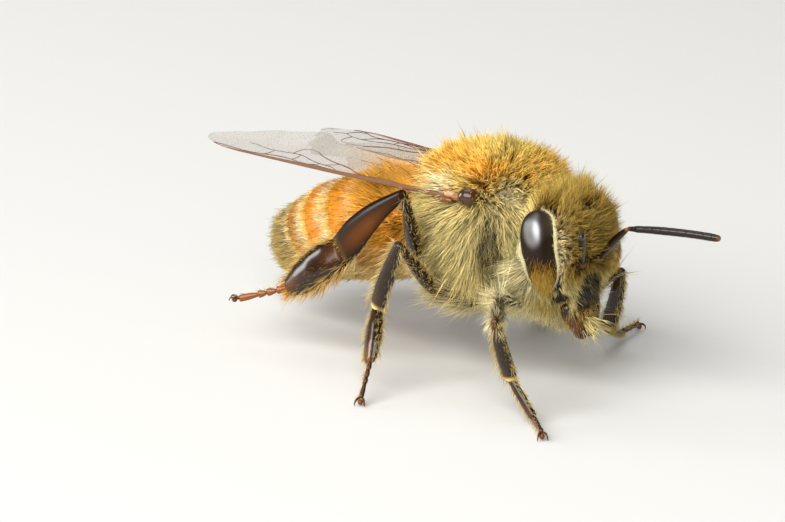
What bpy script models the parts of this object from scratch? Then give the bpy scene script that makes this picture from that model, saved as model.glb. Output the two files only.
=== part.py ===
"""Honey bee worker, a still life-size model: each named part of the animal is one closed solid.

The bee's own frame has its origin in the middle of the thorax, x to the bee's
left, y toward the tail and z up. In the world the bee faces -Y and stands on
z = 0. Head, thorax, abdomen and upper legs are drawn to the tips of the coat.
"""

import math

import bmesh
import bpy
from mathutils import Euler, Matrix, Vector

MM = 0.001

# Gaps between neighbours, and how much a cutter is grown. The animal is 13 mm long,
# so the gaps are finer than on furniture or machines.
GAP = 0.04 * MM
CUT_SWELL = 0.03 * MM

# Stance: the thorax over the floor, and the offset that centres the whole on the origin.
THORAX_HEIGHT = 4.08 * MM
STAND_SIDE = -0.233 * MM
STAND_BACK = -1.415 * MM
NOSE_UP = math.radians(6.0)
RIGHT_SIDE_UP = math.radians(3.0)
FOOT_HEIGHT = 0.215 * MM

# Thorax with its coat, from the origin.
THORAX_FRONT = 2.25 * MM
THORAX_BACK = 2.45 * MM
THORAX_HALF_WIDTH = 2.28 * MM
THORAX_TOP = 2.42 * MM
THORAX_BOTTOM = 2.28 * MM
THORAX_FULLNESS = 2.7
THORAX_SLOPE = 0.20

# Head with its coat, seated ahead of the thorax, face a little down, crown to the right.
HEAD_FORWARD = 2.22 * MM
HEAD_DROP = 0.55 * MM
HEAD_PITCH = math.radians(8.0)
HEAD_ROLL = math.radians(5.0)
HEAD_TOP = 2.04 * MM
HEAD_BOTTOM = 1.92 * MM
HEAD_HALF_WIDTH = 1.80 * MM
HEAD_FRONT = 1.06 * MM
HEAD_BACK = 1.05 * MM

# Compound eyes on the sides of the head.
EYE_SIDE = 1.42 * MM
EYE_FORWARD = 0.10 * MM
EYE_UP = 0.36 * MM
EYE_HALF_LENGTH = 1.16 * MM
EYE_HALF_BREADTH = 0.50 * MM
EYE_HALF_DEPTH = 0.52 * MM
EYE_LEAN = math.radians(6.5)
EYE_TIP_BACK = math.radians(5.0)

# Antennae: where they are seated on the face, their lengths and headings.
SOCKET_SIDE = 0.36 * MM
SOCKET_UP = 0.02 * MM
SOCKET_FORWARD = 0.85 * MM
SCAPE_LENGTH = 1.40 * MM
FLAGELLUM_LENGTH = 2.75 * MM
ANTENNA_HALF = 0.25 * MM
ANTENNA_HEADINGS = {-1: ((35.0, 56.0), (37.9, 15.8)), 1: ((91.0, 49.0), (78.7, 6.8))}

# Mouthparts below the face.
MANDIBLE_SIDE = 0.62 * MM
MANDIBLE_FORWARD = 0.52 * MM
MANDIBLE_DROP = 1.28 * MM
MANDIBLE_LENGTH = 0.86 * MM
MOUTH_HALF = 0.26 * MM
LABRUM_FORWARD = 0.80 * MM
LABRUM_DROP = 1.50 * MM
LABRUM_HALF_WIDTH = 0.30 * MM
PROBOSCIS_DROP = 1.66 * MM
PROBOSCIS_LENGTH = 0.50 * MM

# Abdomen with its coat; it arches down to the tip.
ABDOMEN_START = 1.95 * MM
ABDOMEN_LENGTH = 5.86 * MM
ABDOMEN_HALF_WIDTH = 2.15 * MM
ABDOMEN_HALF_HEIGHT = 1.56 * MM
ABDOMEN_DROP_FRONT = 0.41 * MM
ABDOMEN_DROP_TIP = 1.30 * MM
ABDOMEN_ARCH = 3.0
SEGMENT_ENDS = (0.0, 0.19, 0.37, 0.55, 0.71, 0.86, 1.0)

# Wings, as solids half a millimetre thick; angles in degrees.
WING_HALF_THICKNESS = 0.25 * MM
WING_SIDE = 1.80 * MM
WING_BACK = 0.40 * MM
WING_UP = 0.92 * MM
FOREWING_LENGTH = 9.25 * MM
FOREWING_CHORD = 2.90 * MM
HINDWING_START = 0.06
HINDWING_LENGTH = 4.90 * MM
HINDWING_CHORD = 1.10 * MM
WING_POSES = {
    -1: {"spread": 3.0, "rise": 4.5, "tilt": 5.0},
    1: {"spread": 14.5, "rise": 2.8, "tilt": -3.0},
}
TEGULA_RADIUS = 0.30 * MM
TEGULA_PLACE = (1.92 * MM, -0.42 * MM, 1.02 * MM)

# Legs. Lengths of coxa, femur, tibia, basitarsus and tarsus, in millimetres.
LEG_PARTS = ("coxa", "femur", "tibia", "basitarsus", "tarsus")
LEG_LENGTHS = {
    "fore": (1.15, 2.08, 1.74, 1.21, 1.20),
    "mid": (1.26, 2.30, 2.09, 1.58, 1.30),
    "hind": (1.28, 2.64, 3.10, 2.08, 1.40),
}
# Hips: millimetres ahead of the origin, out to the side, and below it.
HIPS = {"fore": (1.50, 0.60, 1.80), "mid": (-0.20, 0.80, 2.00), "hind": (-1.40, 0.80, 1.80)}
# Heading of each part: degrees forward of straight out, and degrees up.
LEG_POSES = {
    (-1, "fore"): ((-6.9, 5.8), (36.7, -5.3), (174.4, -69.8), (84.4, -47.0), (50.0, -8.0)),
    (-1, "mid"): ((-38.6, 13.8), (10.0, 40.2), (-101.6, -62.5), (30.5, -51.9), (27.4, -34.0)),
    (-1, "hind"): ((-5.6, 39.4), (27.6, 52.7), (-95.9, -37.1), (-81.7, -33.6), (-58.7, -13.9)),
    (1, "fore"): ((-6.0, -16.0), (-6.0, 13.0), (-96.0, -76.0), (-20.0, -14.0), (-14.0, 0.0)),
    (1, "mid"): ((-43.0, 5.0), (-8.0, 50.0), (-45.0, -66.0), (-30.0, -55.0), (-19.0, 0.0)),
    (1, "hind"): ((-30.0, 9.0), (-26.0, 58.0), (-74.0, -53.0), (-65.0, -28.0), (-48.0, 2.0)),
}
# Half width at each end and half depth of each part, in millimetres.
LEG_SIZES = {
    "fore": ((0.40, 0.30, 0.36), (0.30, 0.27, 0.28), (0.26, 0.29, 0.26), (0.29, 0.26, 0.26),
             (0.25, 0.26, 0.25)),
    "mid": ((0.42, 0.32, 0.38), (0.32, 0.27, 0.28), (0.26, 0.32, 0.26), (0.33, 0.28, 0.27),
            (0.25, 0.26, 0.25)),
    "hind": ((0.44, 0.34, 0.40), (0.34, 0.30, 0.30), (0.27, 0.50, 0.27), (0.52, 0.42, 0.28),
             (0.25, 0.26, 0.25)),
}
RAISED_LEG = (-1, "hind")

SIDE_NAMES = {-1: "right", 1: "left"}

# Material colours and roughness.
LOOKS = {
    "coat_golden": ((0.62, 0.36, 0.09, 1.0), 0.9),
    "coat_pale": ((0.66, 0.53, 0.28, 1.0), 0.9),
    "abdomen": ((0.72, 0.33, 0.06, 1.0), 0.7),
    "eye": ((0.05, 0.025, 0.015, 1.0), 0.15),
    "cuticle": ((0.05, 0.025, 0.015, 1.0), 0.3),
    "amber": ((0.35, 0.13, 0.03, 1.0), 0.4),
    "wing": ((0.55, 0.42, 0.24, 1.0), 0.3),
}


def clear_scene() -> None:
    """Remove every object that the new file starts with."""
    for obj in list(bpy.data.objects):
        bpy.data.objects.remove(obj, do_unlink=True)


def look(name: str) -> bpy.types.Material:
    """The Principled material of that name, made once."""
    if name in bpy.data.materials:
        return bpy.data.materials[name]
    colour, roughness = LOOKS[name]
    made = bpy.data.materials.new(name)
    made.use_nodes = True
    shader = made.node_tree.nodes["Principled BSDF"]
    shader.inputs["Base Color"].default_value = colour
    shader.inputs["Roughness"].default_value = roughness
    shader.inputs["Metallic"].default_value = 0.0
    return made


def frame_at(name: str, parent, place, turn: Matrix) -> bpy.types.Object:
    """An empty that other parts are placed in."""
    made = bpy.data.objects.new(name, None)
    bpy.context.scene.collection.objects.link(made)
    made.parent = parent
    made.location = place
    made.rotation_euler = turn.to_euler()
    return made


def part(name: str, mesh: bmesh.types.BMesh, material: str, parent) -> bpy.types.Object:
    """Turn a closed bmesh into a named, smooth-shaded object in its parent's frame."""
    bmesh.ops.remove_doubles(mesh, verts=mesh.verts, dist=1e-7)
    bmesh.ops.recalc_face_normals(mesh, faces=mesh.faces)
    bmesh.ops.triangulate(mesh, faces=[face for face in mesh.faces if len(face.verts) > 4])
    data = bpy.data.meshes.new(name)
    mesh.to_mesh(data)
    mesh.free()
    data.shade_smooth()
    data.materials.append(look(material))
    made = bpy.data.objects.new(name, data)
    bpy.context.scene.collection.objects.link(made)
    made.parent = parent
    return made


def join_rings(rings) -> bmesh.types.BMesh:
    """Join rings of points into a closed body with fanned ends."""
    mesh = bmesh.new()
    rows = [[mesh.verts.new(point) for point in ring] for ring in rings]
    count = len(rows[0])
    for low, high in zip(rows[:-1], rows[1:]):
        for i in range(count):
            j = (i + 1) % count
            mesh.faces.new((low[i], low[j], high[j], high[i]))
    for row in (rows[0], rows[-1]):
        centre = sum((vert.co for vert in row), Vector()) / count
        tip = mesh.verts.new(centre)
        for i in range(count):
            mesh.faces.new((row[i], row[(i + 1) % count], tip))
    return mesh


def blend(keys, t: float) -> float:
    """A smooth value at t between (place, value) keys."""
    for (start, low), (end, high) in zip(keys[:-1], keys[1:]):
        if t <= end:
            s = max(0.0, (t - start) / (end - start))
            return low + (high - low) * s * s * (3.0 - 2.0 * s)
    return keys[-1][1]


def dome(s: float, fullness: float) -> float:
    """The share of the full radius left at s, 0 being the middle and 1 the end."""
    return math.sqrt(max(0.0, 1.0 - abs(s) ** fullness))


def oval(count: int, half: float, top: float, bottom: float, square: float):
    """Points round an egg-shaped section; a square above 2 fills its corners."""
    points = []
    for i in range(count):
        angle = 2.0 * math.pi * (i + 0.5) / count
        c = math.cos(angle)
        s = math.sin(angle)
        reach = top if s > 0 else bottom
        points.append((half * math.copysign(abs(c) ** (2.0 / square), c),
                       reach * math.copysign(abs(s) ** (2.0 / square), s)))
    return points


def end_to_end(steps: int, inset: float):
    """Places from -1 to 1, close together at the ends."""
    return [-math.cos(math.pi * (k + inset) / (steps + 2.0 * inset)) for k in range(steps + 1)]


def heading(side: int, forward: float, up: float) -> Vector:
    """Unit vector from degrees forward of straight out, and degrees up."""
    f = math.radians(forward)
    u = math.radians(up)
    return Vector((side * math.cos(f) * math.cos(u), -math.sin(f) * math.cos(u), math.sin(u)))


def rod(start: Vector, end: Vector, halves, depth: float, across: Vector) -> bmesh.types.BMesh:
    """A limb with rounded ends: a half width for each end and one half depth."""
    sides = 8
    reach = 0.8
    along = (end - start).normalized()
    wide = (across - along * across.dot(along)).normalized()
    deep = along.cross(wide)
    length = (end - start).length
    places = []
    for degrees in (18.0, 50.0, 82.0):
        angle = math.radians(degrees)
        places.append((-math.cos(angle) * halves[0] * reach, math.sin(angle)))
    places += [(0.3 * length, 1.0), (0.65 * length, 1.0)]
    for degrees in (82.0, 50.0, 18.0):
        angle = math.radians(degrees)
        places.append((length + math.cos(angle) * halves[1] * reach, math.sin(angle)))
    rings = []
    for place, share in places:
        f = min(1.0, max(0.0, place / length))
        half = halves[0] + (halves[1] - halves[0]) * f * (2.0 - f)
        ring = []
        for i in range(sides):
            angle = 2.0 * math.pi * (i + 0.5) / sides
            ring.append(start + along * place + wide * (half * share * math.cos(angle))
                        + deep * (depth * share * math.sin(angle)))
        rings.append(ring)
    return join_rings(rings)


def trim(mesh: bmesh.types.BMesh, point: Vector, keep: Vector) -> None:
    """Cut a closed mesh at a plane and keep the side that keep points to."""
    geometry = list(mesh.verts) + list(mesh.edges) + list(mesh.faces)
    bmesh.ops.bisect_plane(mesh, geom=geometry, dist=1e-8, plane_co=point, plane_no=keep,
                           clear_inner=True)
    rim = [edge for edge in mesh.edges if edge.is_boundary]
    if rim:
        bmesh.ops.holes_fill(mesh, edges=rim)


def swollen(source) -> bpy.types.Object:
    """A hidden cutter: a copy of a part grown a little along its normals."""
    data = source.data.copy()
    mesh = bmesh.new()
    mesh.from_mesh(data)
    mesh.normal_update()
    grown = [vert.co + vert.normal * CUT_SWELL for vert in mesh.verts]
    for vert, place in zip(mesh.verts, grown):
        vert.co = place
    mesh.to_mesh(data)
    mesh.free()
    made = bpy.data.objects.new("cutter_" + source.name, data)
    bpy.context.scene.collection.objects.link(made)
    made.parent = source.parent
    made.location = source.location
    made.rotation_euler = source.rotation_euler
    made.hide_render = True
    made.display_type = "WIRE"
    return made


def cut(target, cutter) -> None:
    """Take a cutter out of a part."""
    tool = target.modifiers.new("cut", "BOOLEAN")
    tool.operation = "DIFFERENCE"
    tool.solver = "EXACT"
    tool.object = cutter


def body_turn() -> Matrix:
    """The body's turn over the floor: nose up and right side up."""
    nose = Euler((-NOSE_UP, 0.0, 0.0)).to_matrix()
    return nose @ Euler((0.0, RIGHT_SIDE_UP, 0.0)).to_matrix()


def body_matrix() -> Matrix:
    """Where the bee's own frame stands in the world."""
    return Matrix.Translation((STAND_SIDE, STAND_BACK, THORAX_HEIGHT)) @ body_turn().to_4x4()


def build_thorax(body):
    """The hump of the thorax, which slopes down toward the neck."""
    rings = []
    for s in end_to_end(12, 0.35):
        r = dome(s, THORAX_FULLNESS)
        y = s * (THORAX_FRONT if s < 0 else THORAX_BACK)
        slope = 1.0 - THORAX_SLOPE * max(0.0, 0.15 - s) ** 1.4
        section = oval(26, THORAX_HALF_WIDTH * r, THORAX_TOP * r * slope, THORAX_BOTTOM * r, 2.15)
        rings.append([(x, y, z - 0.10 * MM * s) for x, z in section])
    return part("thorax", join_rings(rings), "coat_golden", body)


def build_head(head):
    """A rounded triangle from the front, out to the coat of crown, face and cheeks."""
    rings = []
    for s in end_to_end(12, 0.3):
        z = s * (HEAD_BOTTOM if s < 0 else HEAD_TOP)
        wide = HEAD_HALF_WIDTH * dome(s, 2.3) * blend(((-1.0, 0.84), (0.0, 1.0), (1.0, 1.0)), s)
        front = HEAD_FRONT * dome(s, 3.4) * blend(((-1.0, 0.45), (-0.5, 1.0), (1.0, 0.92)), s)
        back = HEAD_BACK * dome(s, 3.0)
        rings.append([(x, -y, z) for x, y in oval(26, wide, front, back, 2.3)])
    return part("head", join_rings(rings), "coat_pale", head)


def build_eye(head, side: int):
    """A long, bulging compound eye."""
    mesh = bmesh.new()
    bmesh.ops.create_uvsphere(mesh, u_segments=18, v_segments=12, radius=1.0)
    scale = Matrix.Diagonal((EYE_HALF_BREADTH, EYE_HALF_DEPTH, EYE_HALF_LENGTH, 1.0))
    bmesh.ops.transform(mesh, matrix=scale, verts=mesh.verts)
    made = part("eye_" + SIDE_NAMES[side], mesh, "eye", head)
    made.location = (side * EYE_SIDE, -EYE_FORWARD, EYE_UP)
    made.rotation_euler = (-EYE_TIP_BACK, side * EYE_LEAN, 0.0)
    return made


def build_antenna(head, side: int):
    """Scape and flagellum, parted at a mitre through the elbow."""
    name = "antenna_" + SIDE_NAMES[side]
    first = heading(side, *ANTENNA_HEADINGS[side][0])
    second = heading(side, *ANTENNA_HEADINGS[side][1])
    socket = Vector((side * SOCKET_SIDE, -SOCKET_FORWARD, SOCKET_UP))
    elbow = socket + first * SCAPE_LENGTH
    mitre = (first + second).normalized()
    halves = (ANTENNA_HALF, ANTENNA_HALF)
    across = Vector((0.3, 0.1, 1.0))
    scape = rod(socket, elbow, halves, ANTENNA_HALF, across)
    trim(scape, elbow - mitre * GAP * 0.5, -mitre)
    whip = rod(elbow, elbow + second * FLAGELLUM_LENGTH, halves, ANTENNA_HALF, across)
    trim(whip, elbow + mitre * GAP * 0.5, mitre)
    part(name + "_flagellum", whip, "cuticle", head)
    return part(name + "_scape", scape, "cuticle", head)


def build_mandible(head, side: int):
    """One jaw, reaching in to the middle line."""
    top = Vector((side * MANDIBLE_SIDE, -MANDIBLE_FORWARD, -MANDIBLE_DROP))
    end = top + Vector((-side * 0.34, -0.20, -0.92)).normalized() * MANDIBLE_LENGTH
    mesh = rod(top, end, (MOUTH_HALF, MOUTH_HALF), MOUTH_HALF, Vector((0.0, 1.0, 0.0)))
    trim(mesh, Vector((side * GAP, 0.0, 0.0)), Vector((side, 0.0, 0.0)))
    return part("mandible_" + SIDE_NAMES[side], mesh, "amber", head)


def build_labrum(head):
    """The hairy upper lip across the jaws."""
    middle = Vector((0.0, -LABRUM_FORWARD, -LABRUM_DROP))
    across = Vector((LABRUM_HALF_WIDTH, 0.0, 0.0))
    mesh = rod(middle - across, middle + across, (MOUTH_HALF, MOUTH_HALF), MOUTH_HALF,
               Vector((0.0, 0.0, 1.0)))
    return part("labrum", mesh, "coat_pale", head)


def build_proboscis(head):
    """The folded tongue behind the jaws."""
    top = Vector((0.0, 0.0, -PROBOSCIS_DROP))
    end = top + Vector((0.0, 0.0, -PROBOSCIS_LENGTH))
    mesh = rod(top, end, (MOUTH_HALF, MOUTH_HALF), MOUTH_HALF, Vector((1.0, 0.0, 0.0)))
    return part("proboscis", mesh, "amber", head)


def build_abdomen(body):
    """Six telescoping rings that arch down to the tip."""
    made = []
    ends = list(zip(SEGMENT_ENDS[:-1], SEGMENT_ENDS[1:]))
    for number, (start, end) in enumerate(ends, start=1):
        rings = []
        for k in range(4):
            share = k / 3.0
            if number == len(ends):
                share = math.sin(0.5 * math.pi * share) * 0.995
            s = start + (end - start) * share
            widen = blend(((0.0, 0.62), (0.16, 0.90), (0.38, 1.0), (0.55, 0.98), (1.0, 0.98)), s)
            fall = dome(max(0.0, (s - 0.34) / 0.66), 2.2)
            r = widen * fall * (0.975 + 0.025 * share)
            y = ABDOMEN_START + ABDOMEN_LENGTH * s
            if k == 0 and number > 1:
                y += GAP
            z = -ABDOMEN_DROP_FRONT - ABDOMEN_DROP_TIP * s ** ABDOMEN_ARCH
            lean = ABDOMEN_ARCH * ABDOMEN_DROP_TIP / ABDOMEN_LENGTH * s ** (ABDOMEN_ARCH - 1.0)
            section = oval(24, ABDOMEN_HALF_WIDTH * r, ABDOMEN_HALF_HEIGHT * r,
                           ABDOMEN_HALF_HEIGHT * 1.05 * r, 2.1)
            rings.append([(x, y + lean * h, z + h) for x, h in section])
        made.append(part(f"abdomen_{number}", join_rings(rings), "abdomen", body))
    return made


def wing_axes(side: int):
    """Root, span, chord and normal of a wing."""
    pose = WING_POSES[side]
    spread = math.radians(pose["spread"])
    rise = math.radians(pose["rise"])
    tilt = math.radians(pose["tilt"])
    root = Vector((side * WING_SIDE, WING_BACK, WING_UP))
    span = Vector((side * math.sin(spread) * math.cos(rise), math.cos(spread) * math.cos(rise),
                   math.sin(rise)))
    inward = Vector((-side * math.cos(tilt), 0.0, math.sin(tilt)))
    chord = (inward - span * inward.dot(span)).normalized()
    return root, span, chord, span.cross(chord)


def forewing_edges(s: float):
    """Leading and trailing edge, across the chord, at share s of the forewing's span."""
    turn = max(0.0, (s - 0.80) / 0.20)
    lead = 0.32 * FOREWING_CHORD * (1.0 - math.sqrt(max(0.0, 1.0 - turn * turn)))
    keys = ((0.0, 0.14), (0.12, 0.28), (0.34, 0.70), (0.60, 0.78), (0.72, 1.0), (0.84, 0.80),
            (0.94, 0.52), (1.0, 0.34))
    trail = FOREWING_CHORD * blend(keys, s)
    return lead - 0.05 * MM * math.sin(math.pi * s), max(trail, lead + 0.10 * MM)


def hindwing_edges(s: float):
    """Edges of the hindwing, which lies behind the forewing's trailing edge."""
    lead = forewing_edges(HINDWING_START + s * HINDWING_LENGTH / FOREWING_LENGTH)[1] + 3.0 * GAP
    wide = HINDWING_CHORD * blend(((0.0, 0.35), (0.45, 1.0), (0.75, 0.86), (1.0, 0.28)), s)
    return lead, lead + wide


def blade(axes, start: float, length: float, edges, stations: int) -> bmesh.types.BMesh:
    """A thin, slightly cambered plate between a wing's leading and trailing edges."""
    root, span, chord, normal = axes
    rings = []
    for k in range(stations):
        s = 1.0 - (1.0 - k / (stations - 1)) ** 1.5
        lead, trail = edges(s)
        middle = 0.5 * (lead + trail)
        camber = 0.04 * (trail - lead)
        on_span = root + span * (start + s * length)
        upper = [(lead, 0.0), (middle, camber), (trail, 0.0)]
        ring = [on_span + chord * c + normal * (bend + WING_HALF_THICKNESS) for c, bend in upper]
        ring += [on_span + chord * c + normal * (bend - WING_HALF_THICKNESS)
                 for c, bend in reversed(upper)]
        rings.append(ring)
    return join_rings(rings)


def build_wings(body):
    """Forewing and hindwing of each side."""
    made = {}
    for side, word in SIDE_NAMES.items():
        axes = wing_axes(side)
        fore = blade(axes, 0.0, FOREWING_LENGTH, forewing_edges, 13)
        made["fore", side] = part("forewing_" + word, fore, "wing", body)
        start = HINDWING_START * FOREWING_LENGTH
        hind = blade(axes, start, HINDWING_LENGTH, hindwing_edges, 9)
        made["hind", side] = part("hindwing_" + word, hind, "wing", body)
    return made


def build_tegula(body, side: int):
    """The small shining cap over the wing's root."""
    mesh = bmesh.new()
    bmesh.ops.create_uvsphere(mesh, u_segments=12, v_segments=8, radius=TEGULA_RADIUS)
    made = part("tegula_" + SIDE_NAMES[side], mesh, "cuticle", body)
    out, back, up = TEGULA_PLACE
    made.location = (side * out, back, up)
    return made


def settle(start: Vector, side: int, forward: float, length: float) -> Vector:
    """End of a tarsus that comes down to the floor; its pitch is found by halving."""
    world = body_matrix()
    low = -80.0
    high = 60.0
    for _ in range(40):
        middle = 0.5 * (low + high)
        end = start + heading(side, forward, middle) * length
        if (world @ end).z > FOOT_HEIGHT:
            high = middle
        else:
            low = middle
    return start + heading(side, forward, low) * length


def leg_joints(side: int, pair: str):
    """The six joints of a leg, from its lengths and headings."""
    ahead, out, below = HIPS[pair]
    joints = [Vector((side * out, -ahead, -below)) * MM]
    pose = LEG_POSES[side, pair]
    for length, (forward, up) in zip(LEG_LENGTHS[pair][:4], pose[:4]):
        joints.append(joints[-1] + heading(side, forward, up) * length * MM)
    forward, up = pose[4]
    length = LEG_LENGTHS[pair][4] * MM
    if (side, pair) == RAISED_LEG:
        joints.append(joints[-1] + heading(side, forward, up) * length)
    else:
        joints.append(settle(joints[-1], side, forward, length))
    return joints


def build_leg(body, side: int, pair: str):
    """One leg as five solids, parted at mitres through the joints, its foot cut flat."""
    joints = leg_joints(side, pair)
    into_body = body_matrix().inverted()
    floor_up = into_body.to_3x3() @ Vector((0.0, 0.0, 1.0))
    floor_at = into_body @ Vector((0.0, 0.0, 0.0))
    along = [(b - a).normalized() for a, b in zip(joints[:-1], joints[1:])]
    made = []
    for k, name in enumerate(LEG_PARTS):
        first, last, depth = (value * MM for value in LEG_SIZES[pair][k])
        across = along[k].cross(Vector((side, 0.12, 0.0)))
        mesh = rod(joints[k], joints[k + 1], (first, last), depth, across)
        if k > 0:
            mitre = (along[k - 1] + along[k]).normalized()
            trim(mesh, joints[k] + mitre * GAP * 0.5, mitre)
        if k < 4:
            mitre = (along[k] + along[k + 1]).normalized()
            trim(mesh, joints[k + 1] - mitre * GAP * 0.5, -mitre)
        if k == 4 and (side, pair) != RAISED_LEG:
            trim(mesh, floor_at, floor_up)
        material = "amber" if name in ("coxa", "tarsus") else "cuticle"
        made.append(part(f"leg_{SIDE_NAMES[side]}_{pair}_{name}", mesh, material, body))
    return made


def build() -> None:
    """Assemble the whole bee and part each piece from its neighbours."""
    clear_scene()
    body = frame_at("body_frame", None, (STAND_SIDE, STAND_BACK, THORAX_HEIGHT), body_turn())
    head_turn = Euler((HEAD_PITCH, 0.0, 0.0)).to_matrix()
    head_turn = head_turn @ Euler((0.0, -HEAD_ROLL, 0.0)).to_matrix()
    head_frame = frame_at("head_frame", body, (0.0, -HEAD_FORWARD, -HEAD_DROP), head_turn)

    thorax = build_thorax(body)
    head = build_head(head_frame)
    abdomen = build_abdomen(body)
    wings = build_wings(body)
    labrum = build_labrum(head_frame)
    mouth = [build_proboscis(head_frame), labrum]
    legs = {key: build_leg(body, *key) for key in LEG_POSES}

    thorax_tool = swollen(thorax)
    for upper in [head, abdomen[0]] + list(wings.values()):
        cut(upper, thorax_tool)
    for parts in legs.values():
        cut(parts[0], thorax_tool)
        cut(parts[1], thorax_tool)

    head_tool = swollen(head)
    for side in SIDE_NAMES:
        eye_tool = swollen(build_eye(head_frame, side))
        cut(head, eye_tool)
        cut(thorax, eye_tool)
        cut(head, swollen(legs[side, "fore"][0]))
        cut(thorax, swollen(build_tegula(body, side)))
        mandible = build_mandible(head_frame, side)
        cut(labrum, swollen(mandible))
        mouth += [mandible, build_antenna(head_frame, side)]
    for piece in mouth:
        cut(piece, head_tool)

    for kind in ("fore", "hind"):
        near_tool = swollen(wings[kind, -1])
        far_tool = swollen(wings[kind, 1])
        cut(wings["fore", 1], near_tool)
        cut(wings["hind", 1], near_tool)
        for ring in abdomen[:4]:
            cut(ring, far_tool)


build()
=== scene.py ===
"""A honey bee worker as a still model: skin, coat, eyes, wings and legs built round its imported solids.

Everything is modelled in the bee's own frame in millimetres (x to its left, y toward
the tail, z up, origin in the middle of the thorax) and is moved onto the solids at the end.
"""

import logging
import math
from dataclasses import dataclass, replace
from enum import Enum
from typing import Callable, Sequence

import bmesh
import bpy
import numpy as np
from mathutils import Matrix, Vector
from mathutils.kdtree import KDTree


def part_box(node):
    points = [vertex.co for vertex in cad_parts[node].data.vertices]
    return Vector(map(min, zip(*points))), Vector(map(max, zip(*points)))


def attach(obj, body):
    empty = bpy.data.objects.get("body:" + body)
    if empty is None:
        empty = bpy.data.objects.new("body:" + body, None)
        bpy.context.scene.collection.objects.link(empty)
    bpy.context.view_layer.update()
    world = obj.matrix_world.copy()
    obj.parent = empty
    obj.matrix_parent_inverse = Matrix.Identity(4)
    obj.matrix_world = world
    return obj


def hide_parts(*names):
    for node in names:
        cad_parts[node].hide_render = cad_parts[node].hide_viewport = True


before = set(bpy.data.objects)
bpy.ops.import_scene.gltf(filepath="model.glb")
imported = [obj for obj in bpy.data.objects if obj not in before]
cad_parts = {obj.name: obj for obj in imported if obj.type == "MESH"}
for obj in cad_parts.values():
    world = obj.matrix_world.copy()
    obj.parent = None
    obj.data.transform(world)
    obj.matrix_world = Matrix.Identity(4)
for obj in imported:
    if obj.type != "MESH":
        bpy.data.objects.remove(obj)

MM = 0.001
LOG = logging.getLogger("bee")
Array = np.ndarray


# ---------------------------------------------------------------- small maths


def turn_about(axis: int, degrees: float) -> Array:
    """Rotation matrix about x, y or z.

    Args:
        axis: 0, 1 or 2 for x, y or z.
        degrees: the angle, right-handed.

    Returns:
        The 3 by 3 matrix.
    """
    c, s = math.cos(math.radians(degrees)), math.sin(math.radians(degrees))
    made = np.eye(3)
    i, j = (axis + 1) % 3, (axis + 2) % 3
    made[i, i] = made[j, j] = c
    made[i, j], made[j, i] = -s, s
    return made


def unit(vectors: Array) -> Array:
    """Vectors scaled to length one."""
    return vectors / np.maximum(np.linalg.norm(vectors, axis=-1, keepdims=True), 1e-12)


def step(value: Array, low: float, high: float) -> Array:
    """A smooth rise from 0 at low to 1 at high; low may be the larger of the two."""
    f = np.clip((value - low) / (high - low), 0.0, 1.0)
    return f * f * (3.0 - 2.0 * f)


def blend(keys: Sequence[tuple[float, float]], place: Array) -> Array:
    """A smooth curve through (place, value) keys.

    Args:
        keys: the places, rising, and the value at each.
        place: where the curve is read.

    Returns:
        The values there.
    """
    places, values = np.array(keys, float).T
    i = np.clip(np.searchsorted(places, place, side="right") - 1, 0, len(places) - 2)
    f = np.clip((place - places[i]) / (places[i + 1] - places[i]), 0.0, 1.0)
    return values[i] + (values[i + 1] - values[i]) * f * f * (3.0 - 2.0 * f)


def dome(place: Array, fullness: float) -> Array:
    """Share of the full radius left at a place, 0 being the middle and 1 the end."""
    return np.sqrt(np.maximum(0.0, 1.0 - np.abs(place) ** fullness))


def squared(angle: Array, square: float) -> tuple[Array, Array]:
    """Cosine and sine of a section whose corners fill out as square rises above 2."""
    c, s = np.cos(angle), np.sin(angle)
    power = 2.0 / square
    return np.sign(c) * np.abs(c) ** power, np.sign(s) * np.abs(s) ** power


def spot(points: Array, centre: Sequence[float], radii: Sequence[float]) -> Array:
    """A soft round mask: 1 at the centre, fading past the radii."""
    away = (points - np.array(centre)) / np.array(radii)
    return np.exp(-np.sum(away * away, axis=1))


def linear(red: int, green: int, blue: int) -> tuple[float, float, float, float]:
    """A colour of 0 to 255 in the shader's linear units."""
    def unit_of(c: int) -> float:
        return c / 255.0 / 12.92 if c < 10 else ((c / 255.0 + 0.055) / 1.055) ** 2.4

    return unit_of(red), unit_of(green), unit_of(blue), 1.0


def evenly(values: Sequence[float] | Array, place: Array) -> Array:
    """Values spread evenly from 0 to 1, read at places between."""
    return np.interp(place, np.linspace(0.0, 1.0, len(values)), values)


def sphere(s: Array, angle: Array) -> Array:
    """Points of a unit sphere, as a form for shaped()."""
    return np.stack([dome(s, 2.0) * np.cos(angle), dome(s, 2.0) * np.sin(angle), s], axis=1)


def path_through(points: Array, count: int) -> Array:
    """Evenly spaced points on a smooth curve through the given ones.

    Args:
        points: the points the curve goes through.
        count: how many points are wanted.

    Returns:
        The points on the curve.
    """
    ends = np.vstack([2 * points[:1] - points[1:2], points, 2 * points[-1:] - points[-2:-1]])
    fine = []
    for i in range(len(points) - 1):
        a, b, c, d = ends[i : i + 4]
        t = np.linspace(0.0, 1.0, 12, endpoint=False)[:, None]
        square, cube = 2 * a - 5 * b + 4 * c - d, 3 * b - a - 3 * c + d
        fine.append(0.5 * (2 * b + (c - a) * t + square * t**2 + cube * t**3))
    curve = np.vstack(fine + [points[-1:]])
    run = np.r_[0.0, np.cumsum(np.linalg.norm(np.diff(curve, axis=0), axis=1))]
    want = np.linspace(0.0, run[-1], count)
    return np.stack([np.interp(want, run, curve[:, k]) for k in range(3)], axis=1)


# ---------------------------------------------------------------- the stance


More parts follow.
